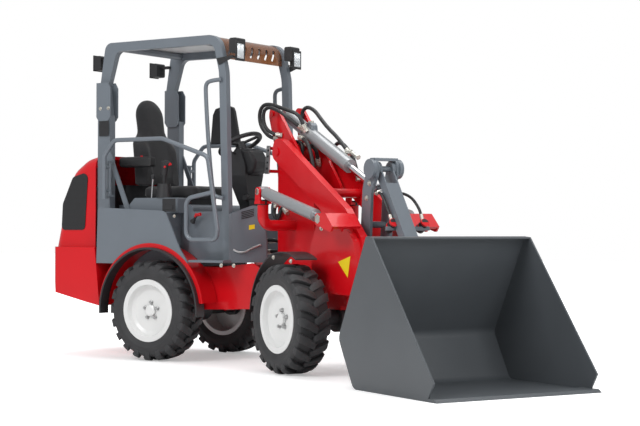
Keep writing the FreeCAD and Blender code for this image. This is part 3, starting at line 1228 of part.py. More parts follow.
def cylinder(name, rear, front, y, barrel_radius, rod_radius, barrel_end, rod_start, frame="front"):
    """Barrel and rod of a cylinder from its rear pin to its front pin, drawn level, then tipped."""
    dx, dz = front[0] - rear[0], front[1] - rear[1]
    total = length_of(dx, dz)
    angle = Size(math.degrees(math.atan2(dz.number, dx.number)), "atan2(%s; %s)" % (dz.text, dx.text))
    eye, half = S.eye_radius, S.eye_width / 2
    bore = S.pin_radius + S.running_gap
    pieces = []
    for kind in ("barrel", "rod"):
        piece = Piece(name.replace("*", kind), frame)
        pieces.append(piece)
        if kind == "barrel":
            piece.pad("XZ", [(0, 0, eye)], -half, half * 2)
            piece.pad("YZ", [(0, 0, half - 2)], eye * 0.7, S.barrel_neck)
            piece.pad("YZ", [(0, 0, barrel_radius)], S.barrel_neck, barrel_end - S.barrel_neck)
            piece.pocket("XZ", [(0, 0, bore)], -half - 1, half * 2 + 2)
            piece.pocket("YZ", [(0, 0, rod_radius + S.running_gap)], eye + 14, barrel_end)
        else:
            piece.pad("XZ", [(total, 0, eye)], -half, half * 2)
            piece.pad("YZ", [(0, 0, rod_radius)], rod_start, total - eye * 0.7 - rod_start)
            piece.pocket("XZ", [(total, 0, bore)], -half - 1, half * 2 + 2)
        tip_over(piece.body, rear, y, angle)
    return pieces


def tip_over(body, rear, y, angle):
    """Stand a cylinder drawn along x at its rear pin, tipped in the frame's own upright plane."""
    steer = S.rest_steer
    place = FreeCAD.Placement(FreeCAD.Vector(S.pivot_x.number, S.pivot_y.number, 0),
                              FreeCAD.Rotation(FreeCAD.Vector(0, 0, 1), steer.number))
    place = place.multiply(FreeCAD.Placement(
        FreeCAD.Vector(rear[0].number, size_of(y).number, rear[1].number),
        FreeCAD.Rotation(FreeCAD.Vector(0, 1, 0), -angle.number)))
    for path in (".Placement.Base.x", ".Placement.Base.y", ".Placement.Rotation.Angle"):
        body.setExpression(path, None)
    body.Placement = place
    base_x = S.pivot_x + cosine(steer) * rear[0] - sine(steer) * y
    base_y = S.pivot_y + sine(steer) * rear[0] + cosine(steer) * y
    body.setExpression(".Placement", "create(<<placement>>; create(<<vector>>; %s; %s; %s); "
                       "create(<<rotation>>; %s; %s; 0))" % (base_x.text, base_y.text, rear[1].text,
                                                             steer.text, "-(%s)" % angle.text))


def lift_cylinders():
    rear = (S.crank_x, S.lift_rear_z)
    front = (S.lift_front_x, S.lift_front_z)
    end = length_of(front[0] - rear[0], front[1] - rear[1]) - S.lift_gland
    for side, y in (("right", -S.lift_y), ("left", S.lift_y)):
        cylinder("lift_*_" + side, rear, front, y, S.lift_barrel_radius, S.lift_rod_radius, end,
                 S.lift_rod_start)


def tilt_cylinder():
    cylinder("tilt_*", (S.tilt_pin_x, S.tilt_pin_z), (S.lever_mid_x, S.lever_mid_z), size_of(0),
             S.tilt_barrel_radius, S.tilt_rod_radius, S.tilt_barrel_length, S.tilt_rod_start)


def tilt_lever():
    piece = Piece("tilt_lever", "front")
    low = S.lever_gap / 2
    plate = [(S.lever_pin_x - 54, S.lever_pin_z - 54, 50), (S.lever_mid_x - 46, S.lever_mid_z, 120),
             (S.lever_top_x - 48, S.lever_top_z + 62, 44), (S.lever_top_x + 50, S.lever_top_z + 62, 46),
             (S.lever_top_x + 44, S.lever_top_z - 44, 30), (S.lever_mid_x + 52, S.lever_mid_z - 20, 120),
             (S.lever_pin_x + 54, S.lever_pin_z - 54, 50)]
    piece.pad("XZ", [plate], low, S.lever_plate)
    for bore in ((S.lever_pin_x, S.lever_pin_z, S.lever_pin_radius + S.running_gap),
                 (S.lever_top_x, S.lever_top_z, S.link_pin_radius + S.running_gap)):
        piece.pocket("XZ", [bore], low - 1, S.lever_plate + 2)
    piece.mirror()
    stiffener = (along(S.lever_pin_x, S.lever_mid_x, 0.42), along(S.lever_pin_z, S.lever_mid_z, 0.42), 20)
    crown_z = S.lever_top_z + S.link_eye_radius + 5
    crown = [(S.lever_top_x - 34, crown_z), (S.lever_top_x + 34, crown_z),
             (S.lever_top_x + 30, crown_z + 18, 6),
             (S.lever_top_x - 30, crown_z + 18, 6)]
    piece.pad("XZ", [stiffener], -low - 1, low * 2 + 2)
    piece.pad("XZ", [crown], -low - S.lever_plate, (low + S.lever_plate) * 2)


def pin(name, x, z, radius, length):
    """A pin with a cap on each end."""
    piece = Piece(name, "front")
    piece.pad("XZ", [(x, z, radius)], -length / 2, length)
    for y in (-length / 2 - S.pin_cap, length / 2):
        piece.pad("XZ", [(x, z, radius + S.pin_cap_wide)], y, S.pin_cap)
    return piece


def loader_pins():
    lever_length = S.lever_gap + (S.lever_plate + S.lug_thick) * 2 + S.running_gap * 4
    pin("lever_pin", S.lever_pin_x, S.lever_pin_z, S.lever_pin_radius, lever_length)
    pin("hitch_pin", S.tip_x, S.tip_z, S.hitch_pin_radius,
        S.arm_gap + S.leg_box * 2 + S.hitch_plate * 2 + S.running_gap * 8)
    link_pin()


def link_pin():
    """The pin at the lever's top: thin in the middle, with a spacer between the link and each lever plate."""
    x, z = S.lever_top_x, S.lever_top_z
    piece = pin("link_pin", x, z, S.link_pin_middle, S.lever_gap + S.lever_plate * 2 + S.running_gap * 2)
    half = S.lever_gap / 2
    inside = S.link_width / 2
    for side in (1, -1):
        thick = (inside - S.link_plate - 1, half + S.lever_plate + S.running_gap)
        spacer = (inside + S.running_gap, half - S.running_gap)
        cap = (thick[1], thick[1] + S.link_cap)
        for (near, far), radius in ((thick, S.link_pin_radius), (spacer, S.link_spacer),
                                    (cap, S.link_cap_radius)):
            low = near if side == 1 else -far
            piece.pad("XZ", [(x, z, radius)], low, far - near)


def tilt_link():
    """A channel, open to the rear so that the tilt cylinder's rod can pass between its sides."""
    piece = Piece("tilt_link", "front")
    dx, dz = S.hitch_top_x - S.lever_top_x, S.hitch_top_z - S.lever_top_z
    total = length_of(dx, dz)
    out_x, out_z = -(dz / total), dx / total
    half_depth = S.link_depth / 2

    def beside(share, offset):
        return (S.lever_top_x + dx * share + out_x * offset, S.lever_top_z + dz * share + out_z * offset)

    side = [beside(0, half_depth), beside(1, half_depth), beside(1, -half_depth), beside(0, -half_depth)]
    web = [beside(0.16, half_depth), beside(0.9, half_depth), beside(0.9, half_depth - S.link_plate),
           beside(0.16, half_depth - S.link_plate)]
    ends = (beside(0, 0), beside(1, 0))
    half = S.link_width / 2
    for low in (-half, half - S.link_plate):
        piece.pad("XZ", [side], low, S.link_plate)
        for (x, z), eye in zip(ends, (S.link_eye_radius, S.eye_radius)):
            piece.pad("XZ", [(x, z, eye)], low, S.link_plate)
    piece.pad("XZ", [web], -half, half * 2)
    piece.pad("XZ", [(*ends[1], S.eye_radius)], -half, half * 2)
    for (x, z), radius in zip(ends, (S.link_pin_radius, S.pin_radius)):
        piece.pocket("XZ", [(x, z, radius + S.running_gap)], -half - 1, half * 2 + 2)


def quick_hitch():
    piece = Piece("quick_hitch", "front")
    out = S.arm_gap / 2 + S.leg_box + S.running_gap
    slope = (S.bucket_top_x - S.bucket_back_x) / (S.bucket_top_z - S.bucket_back_z)
    back_low = S.bucket_back_x - 44
    back_high = S.bucket_back_x + slope * (S.hitch_top_z + 60 - S.bucket_back_z) - 44
    plate = [(S.tip_x - 50, S.tip_z - 50, 46), (S.tip_x - 46, S.tip_z + 56, 50),
             (back_high - 76, S.hitch_top_z + 60, 26), (back_high, S.hitch_top_z + 60, 16),
             (back_low, S.bucket_back_z, 30), (back_low - 20, S.tip_z - 70, 30)]
    piece.pad("XZ", [plate], out, S.hitch_plate)
    piece.pocket("XZ", [(S.tip_x, S.tip_z, S.hitch_pin_radius + S.running_gap)], out - 1, S.hitch_plate + 2)
    x = S.bucket_back_x + slope * (S.hitch_top_z + 34 - S.bucket_back_z) - 44 - 26
    ear = [(x - 14, S.hitch_top_z + 34 + 14, 10), (S.hitch_top_x - 40, S.hitch_top_z + 20, 30),
           (S.hitch_top_x - 34, S.hitch_top_z - 40, 30), (S.hitch_top_x + 20, S.hitch_top_z - 44, 30),
           (x + 20, S.hitch_top_z + 10, 10)]
    gap = S.link_width / 2 + 4
    piece.pad("XZ", [ear], gap, 14)
    piece.pad("XZ", [(x, S.hitch_top_z + 34, S.hook_bar_radius)], gap, S.hitch_width / 2 - gap)
    piece.mirror()
    low_z = S.bucket_back_z + 90
    low_x = S.bucket_back_x + slope * (low_z - S.bucket_back_z) - 44 - 26
    piece.pad("XZ", [(low_x, low_z, S.hook_bar_radius)], -S.hitch_width / 2, S.hitch_width)


def bucket():
    piece = Piece("bucket", "front")
    wall = S.bucket_wall
    half = S.bucket_width / 2
    shell = [(S.bucket_lip, 0), (S.bucket_heel_x, 0, 60), (S.bucket_back_x, S.bucket_back_z, 60),
             (S.bucket_top_x, S.bucket_top_z), (S.bucket_top_x + S.bucket_rim, S.bucket_top_z - 6),
             (S.bucket_top_x + S.bucket_rim, S.bucket_top_z - 6 - wall),
             (S.bucket_top_x + 12, S.bucket_top_z - wall),
             (S.bucket_back_x + wall * 1.16, S.bucket_back_z + 2, 54), (S.bucket_heel_x + 6, wall, 52),
             (S.bucket_lip - S.bucket_edge - 6, wall), (S.bucket_lip - S.bucket_edge, S.bucket_edge_thick),
             (S.bucket_lip - 26, S.bucket_edge_thick)]
    piece.pad("XZ", [shell], -half, half * 2)
    side = [(S.bucket_side_nose - 60, 0), (S.bucket_heel_x, 0, 60), (S.bucket_back_x, S.bucket_back_z, 60),
            (S.bucket_top_x, S.bucket_top_z), (S.bucket_top_x + S.bucket_rim, S.bucket_top_z - 6),
            (S.bucket_side_nose, S.bucket_side_step)]
    for low in (-half, half - S.bucket_side):
        piece.pad("XZ", [side], low, S.bucket_side)
    slope = (S.bucket_top_x - S.bucket_back_x) / (S.bucket_top_z - S.bucket_back_z)
    z_hook = S.hitch_top_z + 34
    wall_gap = size_of(70)
    hook_x = S.bucket_back_x + slope * (z_hook - S.bucket_back_z) - wall_gap
    reach = S.hook_bar_radius + 20
    hook = [(hook_x - reach, z_hook - 30, 8), (hook_x - reach, z_hook + reach, 24),
            (hook_x + wall_gap + slope * reach + 3, z_hook + reach),
            (hook_x + wall_gap - slope * 90 + 3, z_hook - 90), (hook_x + 28, z_hook - 50, 10)]
    mouth = S.hook_bar_radius + S.running_gap
    out = S.hitch_width / 2 - 44
    for low in (-out - 14, out):
        piece.pad("XZ", [hook], low, 14)
        piece.pocket("XZ", [(hook_x, z_hook, mouth)], low - 1, 16)
        piece.pocket("XZ", [rectangle(hook_x - mouth, z_hook - 80, hook_x + mouth, z_hook)], low - 1, 16)


def build():
    rear_chassis()
    counterweight()
    tow_coupling()
    engine_block()
    hood()
    hood_grilles()
    platform()
    side_panel("right")
    side_panel("left")
    wheel_arches()
    rear_fenders()
    console()
    seat()
    controls()
    steering()
    steering_wheel()
    canopy_frame()
    roof_panel()
    roof_visor()
    work_lights()
    guard_bar("right")
    guard_bar("left")
    guard_hinges()
    axle("rear_axle", "rear", -S.axle_reach)
    axle("front_axle", "front", S.axle_reach)
    for side in ("right", "left"):
        wheel("rear_wheel_" + side, "rear", -S.axle_reach, side)
        wheel("front_wheel_" + side, "front", S.axle_reach, side)
    front_frame()
    cylinder_cranks()
    front_fenders()
    lift_arm()
    lift_cylinders()
    tilt_cylinder()
    tilt_lever()
    loader_pins()
    tilt_link()
    quick_hitch()
    bucket()


def check():
    """Stop if any object failed or any sub-part has no sound shape."""
    doc.recompute()
    failed = [item.Label for item in doc.Objects if {"Invalid", "Error"} & set(item.State)]
    failed += [part.Label for part in parts if part.Shape.isNull() or not part.Shape.isValid()]
    if failed:
        raise ValueError("these did not build: " + ", ".join(failed))


def export():
    os.makedirs("parts", exist_ok=True)
    for part in parts:
        part.Shape.exportStep(os.path.join("parts", part.Label + ".step"))


build()
check()
export()
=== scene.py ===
import json
import math
import bmesh
import bpy
from mathutils import Matrix, Quaternion, Vector


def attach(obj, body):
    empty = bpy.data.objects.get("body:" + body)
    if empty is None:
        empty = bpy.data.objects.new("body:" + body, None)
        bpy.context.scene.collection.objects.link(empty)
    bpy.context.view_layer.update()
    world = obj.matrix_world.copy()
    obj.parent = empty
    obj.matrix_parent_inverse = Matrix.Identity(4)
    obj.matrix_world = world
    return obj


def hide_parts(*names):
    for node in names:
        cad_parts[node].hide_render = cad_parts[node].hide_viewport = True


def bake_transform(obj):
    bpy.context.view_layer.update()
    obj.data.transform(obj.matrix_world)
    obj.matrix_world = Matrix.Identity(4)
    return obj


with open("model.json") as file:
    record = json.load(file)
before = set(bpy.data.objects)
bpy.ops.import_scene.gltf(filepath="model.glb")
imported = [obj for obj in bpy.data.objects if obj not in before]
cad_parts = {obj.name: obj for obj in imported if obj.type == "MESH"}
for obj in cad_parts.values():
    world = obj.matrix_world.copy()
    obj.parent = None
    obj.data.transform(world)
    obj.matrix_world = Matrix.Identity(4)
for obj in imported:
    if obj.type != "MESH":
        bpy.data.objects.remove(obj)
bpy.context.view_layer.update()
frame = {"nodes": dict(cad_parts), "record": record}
NODES = frame["nodes"]

# The articulation axis, and the angle at which the front frame is parked.
PIVOT = Vector((-0.402, 0.54965, 0.0))
STEER = math.radians(-25.8)
REAR = Matrix.Translation(PIVOT)
FRONT = REAR @ Matrix.Rotation(STEER, 4, "Z")


# ---------------------------------------------------------------- camera, light and floor

def aim(thing, place, direction, roll=0.0):
    turn = direction.to_track_quat("-Z", "Y") @ Quaternion((0, 0, 1), math.radians(roll))
    thing.matrix_world = Matrix.Translation(place) @ turn.to_matrix().to_4x4()


def add_camera():
    data = bpy.data.cameras.new("view")
    data.lens = 88.4
    data.sensor_width = 36
    data.clip_end = 100
    camera = bpy.data.objects.new("view", data)
    bpy.context.collection.objects.link(camera)
    azimuth, pitch = math.radians(33.73), math.radians(0.475)
    direction = Vector((-math.sin(azimuth) * math.cos(pitch), math.cos(azimuth) * math.cos(pitch),
                        math.sin(pitch)))
    aim(camera, Vector((6.102, -8.733, 0.919)) + PIVOT, direction, 0.139)
    bpy.context.scene.camera = camera


def add_lamp(name, place, target, size, power):
    data = bpy.data.lights.new(name, "AREA")
    data.shape = "RECTANGLE"
    data.size, data.size_y = size
    data.energy = power
    lamp = bpy.data.objects.new(name, data)
    bpy.context.collection.objects.link(lamp)
    aim(lamp, Vector(place), Vector(target) - Vector(place))


def add_studio():
    add_lamp("key", (-1.5, -6.5, 6.0), (0.0, 0.0, 0.9), (4.0, 3.0), 330)
    add_lamp("side", (6.0, -2.0, 4.0), (0.3, 0.0, 0.8), (3.0, 3.0), 170)
    add_lamp("top", (0.0, 1.5, 7.0), (0.0, 0.0, 0.5), (6.0, 4.0), 260)
    world = bpy.data.worlds.new("studio")
    bpy.context.scene.world = world
    world.use_nodes = True
    tree = world.node_tree
    tree.nodes.clear()
    paths = tree.nodes.new("ShaderNodeLightPath")
    seen = tree.nodes.new("ShaderNodeMath")
    seen.operation = "MAXIMUM"
    tree.links.new(paths.outputs["Is Camera Ray"], seen.inputs[0])
    tree.links.new(paths.outputs["Is Transmission Ray"], seen.inputs[1])
    plain = tree.nodes.new("ShaderNodeBackground")
    plain.inputs["Color"].default_value = (0.96, 0.98, 1.0, 1)
    plain.inputs["Strength"].default_value = 0.5
    bright = tree.nodes.new("ShaderNodeBackground")
    bright.inputs["Color"].default_value = (1, 1, 1, 1)
    mix = tree.nodes.new("ShaderNodeMixShader")
    tree.links.new(seen.outputs[0], mix.inputs[0])
    tree.links.new(plain.outputs[0], mix.inputs[1])
    tree.links.new(bright.outputs[0], mix.inputs[2])
    out = tree.nodes.new("ShaderNodeOutputWorld")
    tree.links.new(mix.outputs[0], out.inputs[0])
    bpy.context.scene.view_settings.view_transform = "Standard"


def add_floor():
    mesh = bpy.data.meshes.new("floor")
    mesh.from_pydata([(-30, -30, 0), (30, -30, 0), (30, 30, 0), (-30, 30, 0)], [], [(0, 1, 2, 3)])
    floor = bpy.data.objects.new("floor", mesh)
    bpy.context.collection.objects.link(floor)
    material = bpy.data.materials.new("floor")
    material.use_nodes = True
    tree = material.node_tree
    shader = tree.nodes["Principled BSDF"]
    shader.inputs["Base Color"].default_value = (0.86, 0.86, 0.86, 1)
    shader.inputs["Roughness"].default_value = 0.8
    place = tree.nodes.new("ShaderNodeTexCoord")
    reach = tree.nodes.new("ShaderNodeVectorMath")
    reach.operation = "LENGTH"
    tree.links.new(place.outputs["Object"], reach.inputs[0])
    fade = tree.nodes.new("ShaderNodeMapRange")
    fade.inputs["From Min"].default_value = 1.6
    fade.inputs["From Max"].default_value = 4.5
    fade.inputs["To Min"].default_value = 0.34
    fade.inputs["To Max"].default_value = 1.0
    tree.links.new(reach.outputs["Value"], fade.inputs["Value"])
    paths = tree.nodes.new("ShaderNodeLightPath")
    glow = tree.nodes.new("ShaderNodeMath")
    glow.operation = "MULTIPLY"
    tree.links.new(paths.outputs["Is Camera Ray"], glow.inputs[0])
    tree.links.new(fade.outputs["Result"], glow.inputs[1])
    shader.inputs["Emission Color"].default_value = (1, 1, 1, 1)
    tree.links.new(glow.outputs[0], shader.inputs["Emission Strength"])
    mesh.materials.append(material)


# ---------------------------------------------------------------- materials

def noise_bump(tree, scale, strength, distance, detail=4.0):
    """A normal roughened by noise in the object's own space."""
    place = tree.nodes.new("ShaderNodeTexCoord")
    noise = tree.nodes.new("ShaderNodeTexNoise")
    noise.inputs["Scale"].default_value = scale
    noise.inputs["Detail"].default_value = detail
    tree.links.new(place.outputs["Object"], noise.inputs["Vector"])
    bump = tree.nodes.new("ShaderNodeBump")
    bump.inputs["Strength"].default_value = strength
    bump.inputs["Distance"].default_value = distance
    tree.links.new(noise.outputs["Fac"], bump.inputs["Height"])
    return bump


def varied(tree, colour, spread, scale):
    """The colour, a little lighter and darker over the surface."""
    place = tree.nodes.new("ShaderNodeTexCoord")
    noise = tree.nodes.new("ShaderNodeTexNoise")
    noise.inputs["Scale"].default_value = scale
    noise.inputs["Detail"].default_value = 3.0
    tree.links.new(place.outputs["Object"], noise.inputs["Vector"])
    ramp = tree.nodes.new("ShaderNodeValToRGB")
    for stop, factor in zip(ramp.color_ramp.elements, (1 - spread, 1 + spread)):
        stop.color = (*[min(1.0, part * factor) for part in colour], 1)
    ramp.color_ramp.elements[0].position = 0.3
    ramp.color_ramp.elements[1].position = 0.7
    tree.links.new(noise.outputs["Fac"], ramp.inputs["Fac"])
    return ramp.outputs["Color"]


def make(name, colour, rough, metallic=0.0, coat=0.0, sheen=0.0, spread=0.06, scale=6.0,
         bump=(900.0, 0.05, 0.0004), specular=0.5):
    material = bpy.data.materials.new(name)
    material.use_nodes = True
    tree = material.node_tree
    shader = tree.nodes["Principled BSDF"]
    tree.links.new(varied(tree, colour, spread, scale), shader.inputs["Base Color"])
    shader.inputs["Roughness"].default_value = rough
    shader.inputs["Metallic"].default_value = metallic
    shader.inputs["Coat Weight"].default_value = coat
    shader.inputs["Coat Roughness"].default_value = 0.12
    shader.inputs["Sheen Weight"].default_value = sheen
    shader.inputs["Specular IOR Level"].default_value = specular
    if bump:
        tree.links.new(noise_bump(tree, *bump).outputs["Normal"], shader.inputs["Normal"])
    return material


def weave(name, colour):
    """A close cloth: two crossed sets of fine bands."""
    material = make(name, colour, 0.85, sheen=0.25, spread=0.12, scale=30.0, bump=None)
    tree = material.node_tree
    place = tree.nodes.new("ShaderNodeTexCoord")
    height = None
    for axis in ("X", "Z"):
        bands = tree.nodes.new("ShaderNodeTexWave")
        bands.bands_direction = axis
        bands.inputs["Scale"].default_value = 260.0
        bands.inputs["Distortion"].default_value = 0.6
        tree.links.new(place.outputs["Object"], bands.inputs["Vector"])
        if height is None:
            height = bands.outputs["Fac"]
            continue
        both = tree.nodes.new("ShaderNodeMath")
        both.operation = "MAXIMUM"
        tree.links.new(height, both.inputs[0])
        tree.links.new(bands.outputs["Fac"], both.inputs[1])
        height = both.outputs[0]
    bump = tree.nodes.new("ShaderNodeBump")
    bump.inputs["Strength"].default_value = 0.35
    bump.inputs["Distance"].default_value = 0.0006
    tree.links.new(height, bump.inputs["Height"])
    tree.links.new(bump.outputs["Normal"], tree.nodes["Principled BSDF"].inputs["Normal"])
    return material


def perforated(name, colour):
    """A black grille sheet with rows of small dark holes."""
    material = make(name, colour, 0.6, spread=0.05, bump=None)
    tree = material.node_tree
    place = tree.nodes.new("ShaderNodeTexCoord")
    cells = tree.nodes.new("ShaderNodeTexVoronoi")
    cells.inputs["Scale"].default_value = 120.0
    cells.inputs["Randomness"].default_value = 0.0
    tree.links.new(place.outputs["Object"], cells.inputs["Vector"])
    ramp = tree.nodes.new("ShaderNodeValToRGB")
    ramp.color_ramp.elements[0].position = 0.32
    ramp.color_ramp.elements[0].color = (0.003, 0.003, 0.003, 1)
    ramp.color_ramp.elements[1].position = 0.42
    ramp.color_ramp.elements[1].color = (*colour, 1)
    tree.links.new(cells.outputs["Distance"], ramp.inputs["Fac"])
    tree.links.new(ramp.outputs["Color"], tree.nodes["Principled BSDF"].inputs["Base Color"])
    return material


def tinted(name, colour):
    material = make(name, colour, 0.12, coat=0.3, spread=0.05, bump=(60.0, 0.04, 0.002))
    shader = material.node_tree.nodes["Principled BSDF"]
    shader.inputs["Transmission Weight"].default_value = 0.55
    shader.inputs["IOR"].default_value = 1.45
    return material


RED = make("red_paint", (0.62, 0.003, 0.008), 0.32, coat=0.35, spread=0.03, scale=3.0, specular=0.3)
GREY = make("grey_paint", (0.142, 0.163, 0.187), 0.36, coat=0.25, spread=0.04, scale=4.0)
DARK_GREY = make("bucket_paint", (0.072, 0.080, 0.088), 0.42, coat=0.15, spread=0.06, scale=3.0)
CYLINDER = make("cylinder_paint", (0.30, 0.31, 0.32), 0.30, metallic=0.35, coat=0.3, spread=0.04)
WHITE = make("white_paint", (0.74, 0.74, 0.73), 0.35, coat=0.3, spread=0.02)
BLACK = make("black_plastic", (0.016, 0.016, 0.018), 0.5, spread=0.1, scale=20.0, bump=(1500.0, 0.25, 0.0006))
FENDER = make("fender_plastic", (0.022, 0.022, 0.024), 0.42, spread=0.08, scale=12.0,
              bump=(1100.0, 0.2, 0.0006))
TYRE = make("tyre", (0.026, 0.026, 0.028), 0.62, spread=0.18, scale=14.0, bump=(500.0, 0.25, 0.0010),
            sheen=0.05)
CHROME = make("chrome", (0.78, 0.78, 0.80), 0.10, metallic=1.0, spread=0.01, bump=(700.0, 0.02, 0.0002))
STEEL = make("steel", (0.52, 0.52, 0.52), 0.32, metallic=1.0, spread=0.08, scale=40.0)
ZINC = make("zinc", (0.62, 0.60, 0.54), 0.38, metallic=0.9, spread=0.12, scale=60.0)
IRON = make("dark_iron", (0.045, 0.045, 0.048), 0.55, metallic=0.4, spread=0.25, scale=18.0,
            bump=(240.0, 0.3, 0.0015))
HOSE = make("hose", (0.02, 0.02, 0.021), 0.48, spread=0.1, scale=40.0, bump=(1300.0, 0.2, 0.0005))
SEAT = weave("seat_cloth", (0.020, 0.020, 0.022))
VINYL = make("seat_vinyl", (0.018, 0.018, 0.019), 0.45, spread=0.1, scale=25.0, bump=(700.0, 0.35, 0.0008))
GRILLE = perforated("grille_sheet", (0.02, 0.02, 0.022))
ROOF = tinted("roof_sheet", (0.30, 0.12, 0.05))
LAMP = make("lamp_glass", (0.75, 0.78, 0.80), 0.12, metallic=0.6, coat=0.6, spread=0.1, scale=60.0,
            bump=(160.0, 0.3, 0.002))
YELLOW = make("yellow_label", (0.85, 0.62, 0.01), 0.4, spread=0.02, bump=None)

FINISH = {
    "red_paint": RED, "grey_paint": GREY, "white_paint": WHITE, "black_plastic": BLACK, "seat_cover": VINYL,
    "tyre": TYRE, "chrome": CHROME, "steel": STEEL, "dark_iron": IRON, "lamp": BLACK, "roof": ROOF,
}
SPECIAL = {"bucket": DARK_GREY, "hood_grilles": GRILLE, "front_fenders": FENDER, "rear_fenders": FENDER,
           "lift_barrel_right": CYLINDER, "lift_barrel_left": CYLINDER, "tilt_barrel": CYLINDER,
           "front_axle": IRON, "rear_axle": IRON, "link_pin": GREY, "lever_pin": GREY, "hitch_pin": GREY}


def dress(node, material):
    data = NODES[node].data
    data.materials.clear()
    data.materials.append(material)


def dress_frame():
    for entry in frame["record"]["subparts"]:
        node = entry["node"]
        dress(node, SPECIAL.get(node, FINISH[entry["material_slot"]]))
        soften(NODES[node])


def soften(thing, width=0.0025):
    """Rounded edges on a solid of flat faces."""
    edge = thing.modifiers.new("edge", "BEVEL")
    edge.width = width
    edge.segments = 2
    edge.limit_method = "ANGLE"
    edge.angle_limit = math.radians(40)
    edge.use_clamp_overlap = True


# ---------------------------------------------------------------- piece helpers

def add_piece(name, mesh, body, material, place=None, smooth=True):
    piece = bpy.data.objects.new(name, mesh)
    bpy.context.collection.objects.link(piece)
    if place is not None:
        mesh.transform(place)
    mesh.materials.append(material)
    if smooth:
        for face in mesh.polygons:
            face.use_smooth = True
    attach(piece, body)
    return piece


def spun(profile, steps):
    """A mesh turned round the y axis from (y, radius) points."""
    rows = []
    for index in range(steps):
        turn = 2 * math.pi * index / steps
        rows.append([(radius * math.cos(turn), y, radius * math.sin(turn)) for y, radius in profile])
    points = [point for row in rows for point in row]
    width = len(profile)
    faces = []
    for index in range(steps):
        a, b = index * width, ((index + 1) % steps) * width
        faces += [(a + k, b + k, b + k + 1, a + k + 1) for k in range(width - 1)]
    return points, faces


# ---------------------------------------------------------------- small forms

class Shape:
    """Small forms gathered into one mesh, in a frame's own metres."""

    def __init__(self, place):
        self.build = bmesh.new()
        self.place = place

    def outline(self, points, low_y, high_y):
        """A plate between two values of y, from (x, z) points."""
        near = [self.build.verts.new((x, low_y, z)) for x, z in points]
        far = [self.build.verts.new((x, high_y, z)) for x, z in points]
        self.close(near, far)

    def slab(self, points, thick):
        """A plate on a flat polygon of (x, y, z) points."""
        points = [Vector(point) for point in points]
        out = (points[1] - points[0]).cross(points[2] - points[1]).normalized() * thick
        near = [self.build.verts.new(point) for point in points]
        far = [self.build.verts.new(point + out) for point in points]
        self.close(near, far)

    def close(self, near, far):
        count = len(near)
        self.build.faces.new(near)
        self.build.faces.new(list(reversed(far)))
        for index in range(count):
            after = (index + 1) % count
            self.build.faces.new((near[index], far[index], far[after], near[after]))

    def block(self, low, high):
        corners = [(low[0], low[2]), (high[0], low[2]), (high[0], high[2]), (low[0], high[2])]
        self.outline(corners, low[1], high[1])

    def rod(self, start, end, radius, tip=None, sides=24):
        start, end = Vector(start), Vector(end)
        turn = (end - start).to_track_quat("Z", "Y").to_matrix().to_4x4()
        place = Matrix.Translation((start + end) / 2) @ turn
        bmesh.ops.create_cone(self.build, cap_ends=True, segments=sides, radius1=radius,
                              radius2=radius if tip is None else tip, depth=(end - start).length,
                              matrix=place)

    def nut(self, place, out, radius, height=0.010):
        """A bolt's hexagonal head on its washer."""
        place, out = Vector(place), Vector(out).normalized()
        self.rod(place, place + out * 0.003, radius * 1.35)
        self.rod(place + out * 0.003, place + out * height, radius, radius * 0.94, sides=6)

    def tube(self, points, radius, sides=14):
        """A bent tube that follows the smooth line those points control."""
        tube_round(self.build, line_of(points), radius, sides)

    def add(self, name, body, material, slot, bevel=0.002):
        bmesh.ops.recalc_face_normals(self.build, faces=self.build.faces)
        mesh = bpy.data.meshes.new(name)
        self.build.to_mesh(mesh)
        self.build.free()
        piece = add_piece(name, mesh, body, material, self.place, smooth=True)
        mesh.set_sharp_from_angle(angle=math.radians(35))
        if bevel:
            soften(piece, bevel)
        return piece


def line_of(points):
    """Points along the NURBS line that the given points control."""
    data = bpy.data.curves.new("line", "CURVE")
    data.dimensions = "3D"
    data.resolution_u = 10
    spline = data.splines.new("NURBS")
    spline.points.add(len(points) - 1)
    for knot, point in zip(spline.points, points):
        knot.co = (*point, 1)
    spline.order_u = 3
    spline.use_endpoint_u = True
    thing = bpy.data.objects.new("line", data)
    mesh = bpy.data.meshes.new_from_object(thing)
    path = [point.co.copy() for point in mesh.vertices]
    bpy.data.objects.remove(thing)
    bpy.data.meshes.remove(mesh)
    return path


def tube_round(build, path, radius, sides):
    """A closed tube along the path, its rings turned no more than the path turns."""
    across = (path[1] - path[0]).orthogonal().normalized()
    rings = []
    for index, point in enumerate(path):
        ahead = (path[min(index + 1, len(path) - 1)] - path[max(index - 1, 0)]).normalized()
        across = (across - ahead * across.dot(ahead)).normalized()
        other = ahead.cross(across)
        ring = []
        for step in range(sides):
            turn = 2 * math.pi * step / sides
            ring.append(build.verts.new(point + (across * math.cos(turn) + other * math.sin(turn)) * radius))
        rings.append(ring)
    for here, there in zip(rings, rings[1:]):
        for step in range(sides):
            after = (step + 1) % sides
            build.faces.new((here[step], here[after], there[after], there[step]))
    build.faces.new(list(reversed(rings[0])))
    build.faces.new(rings[-1])


# ---------------------------------------------------------------- hoses

def hose(name, place, points, radius, body, far_body=None):
    """A hose from one body, to another if far_body is given, with a crimped fitting on each end."""
    path = line_of([place @ Vector(point) for point in points])
    build = bmesh.new()
    tube_round(build, path, radius, 14)
    bmesh.ops.recalc_face_normals(build, faces=build.faces)
    mesh = bpy.data.meshes.new(name)
    build.to_mesh(mesh)
    build.free()
    mesh.materials.append(HOSE)
    for face in mesh.polygons:
        face.use_smooth = True
    mesh.set_sharp_from_angle(angle=math.radians(50))
    piece = bpy.data.objects.new(name, mesh)
    bpy.context.collection.objects.link(piece)
    if far_body:
        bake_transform(piece)
    else:
        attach(piece, body)
    fittings = [fitting(name + "_start", path[0], path[1] - path[0], radius, body),
                fitting(name + "_end", path[-1], path[-2] - path[-1], radius, far_body or body)]


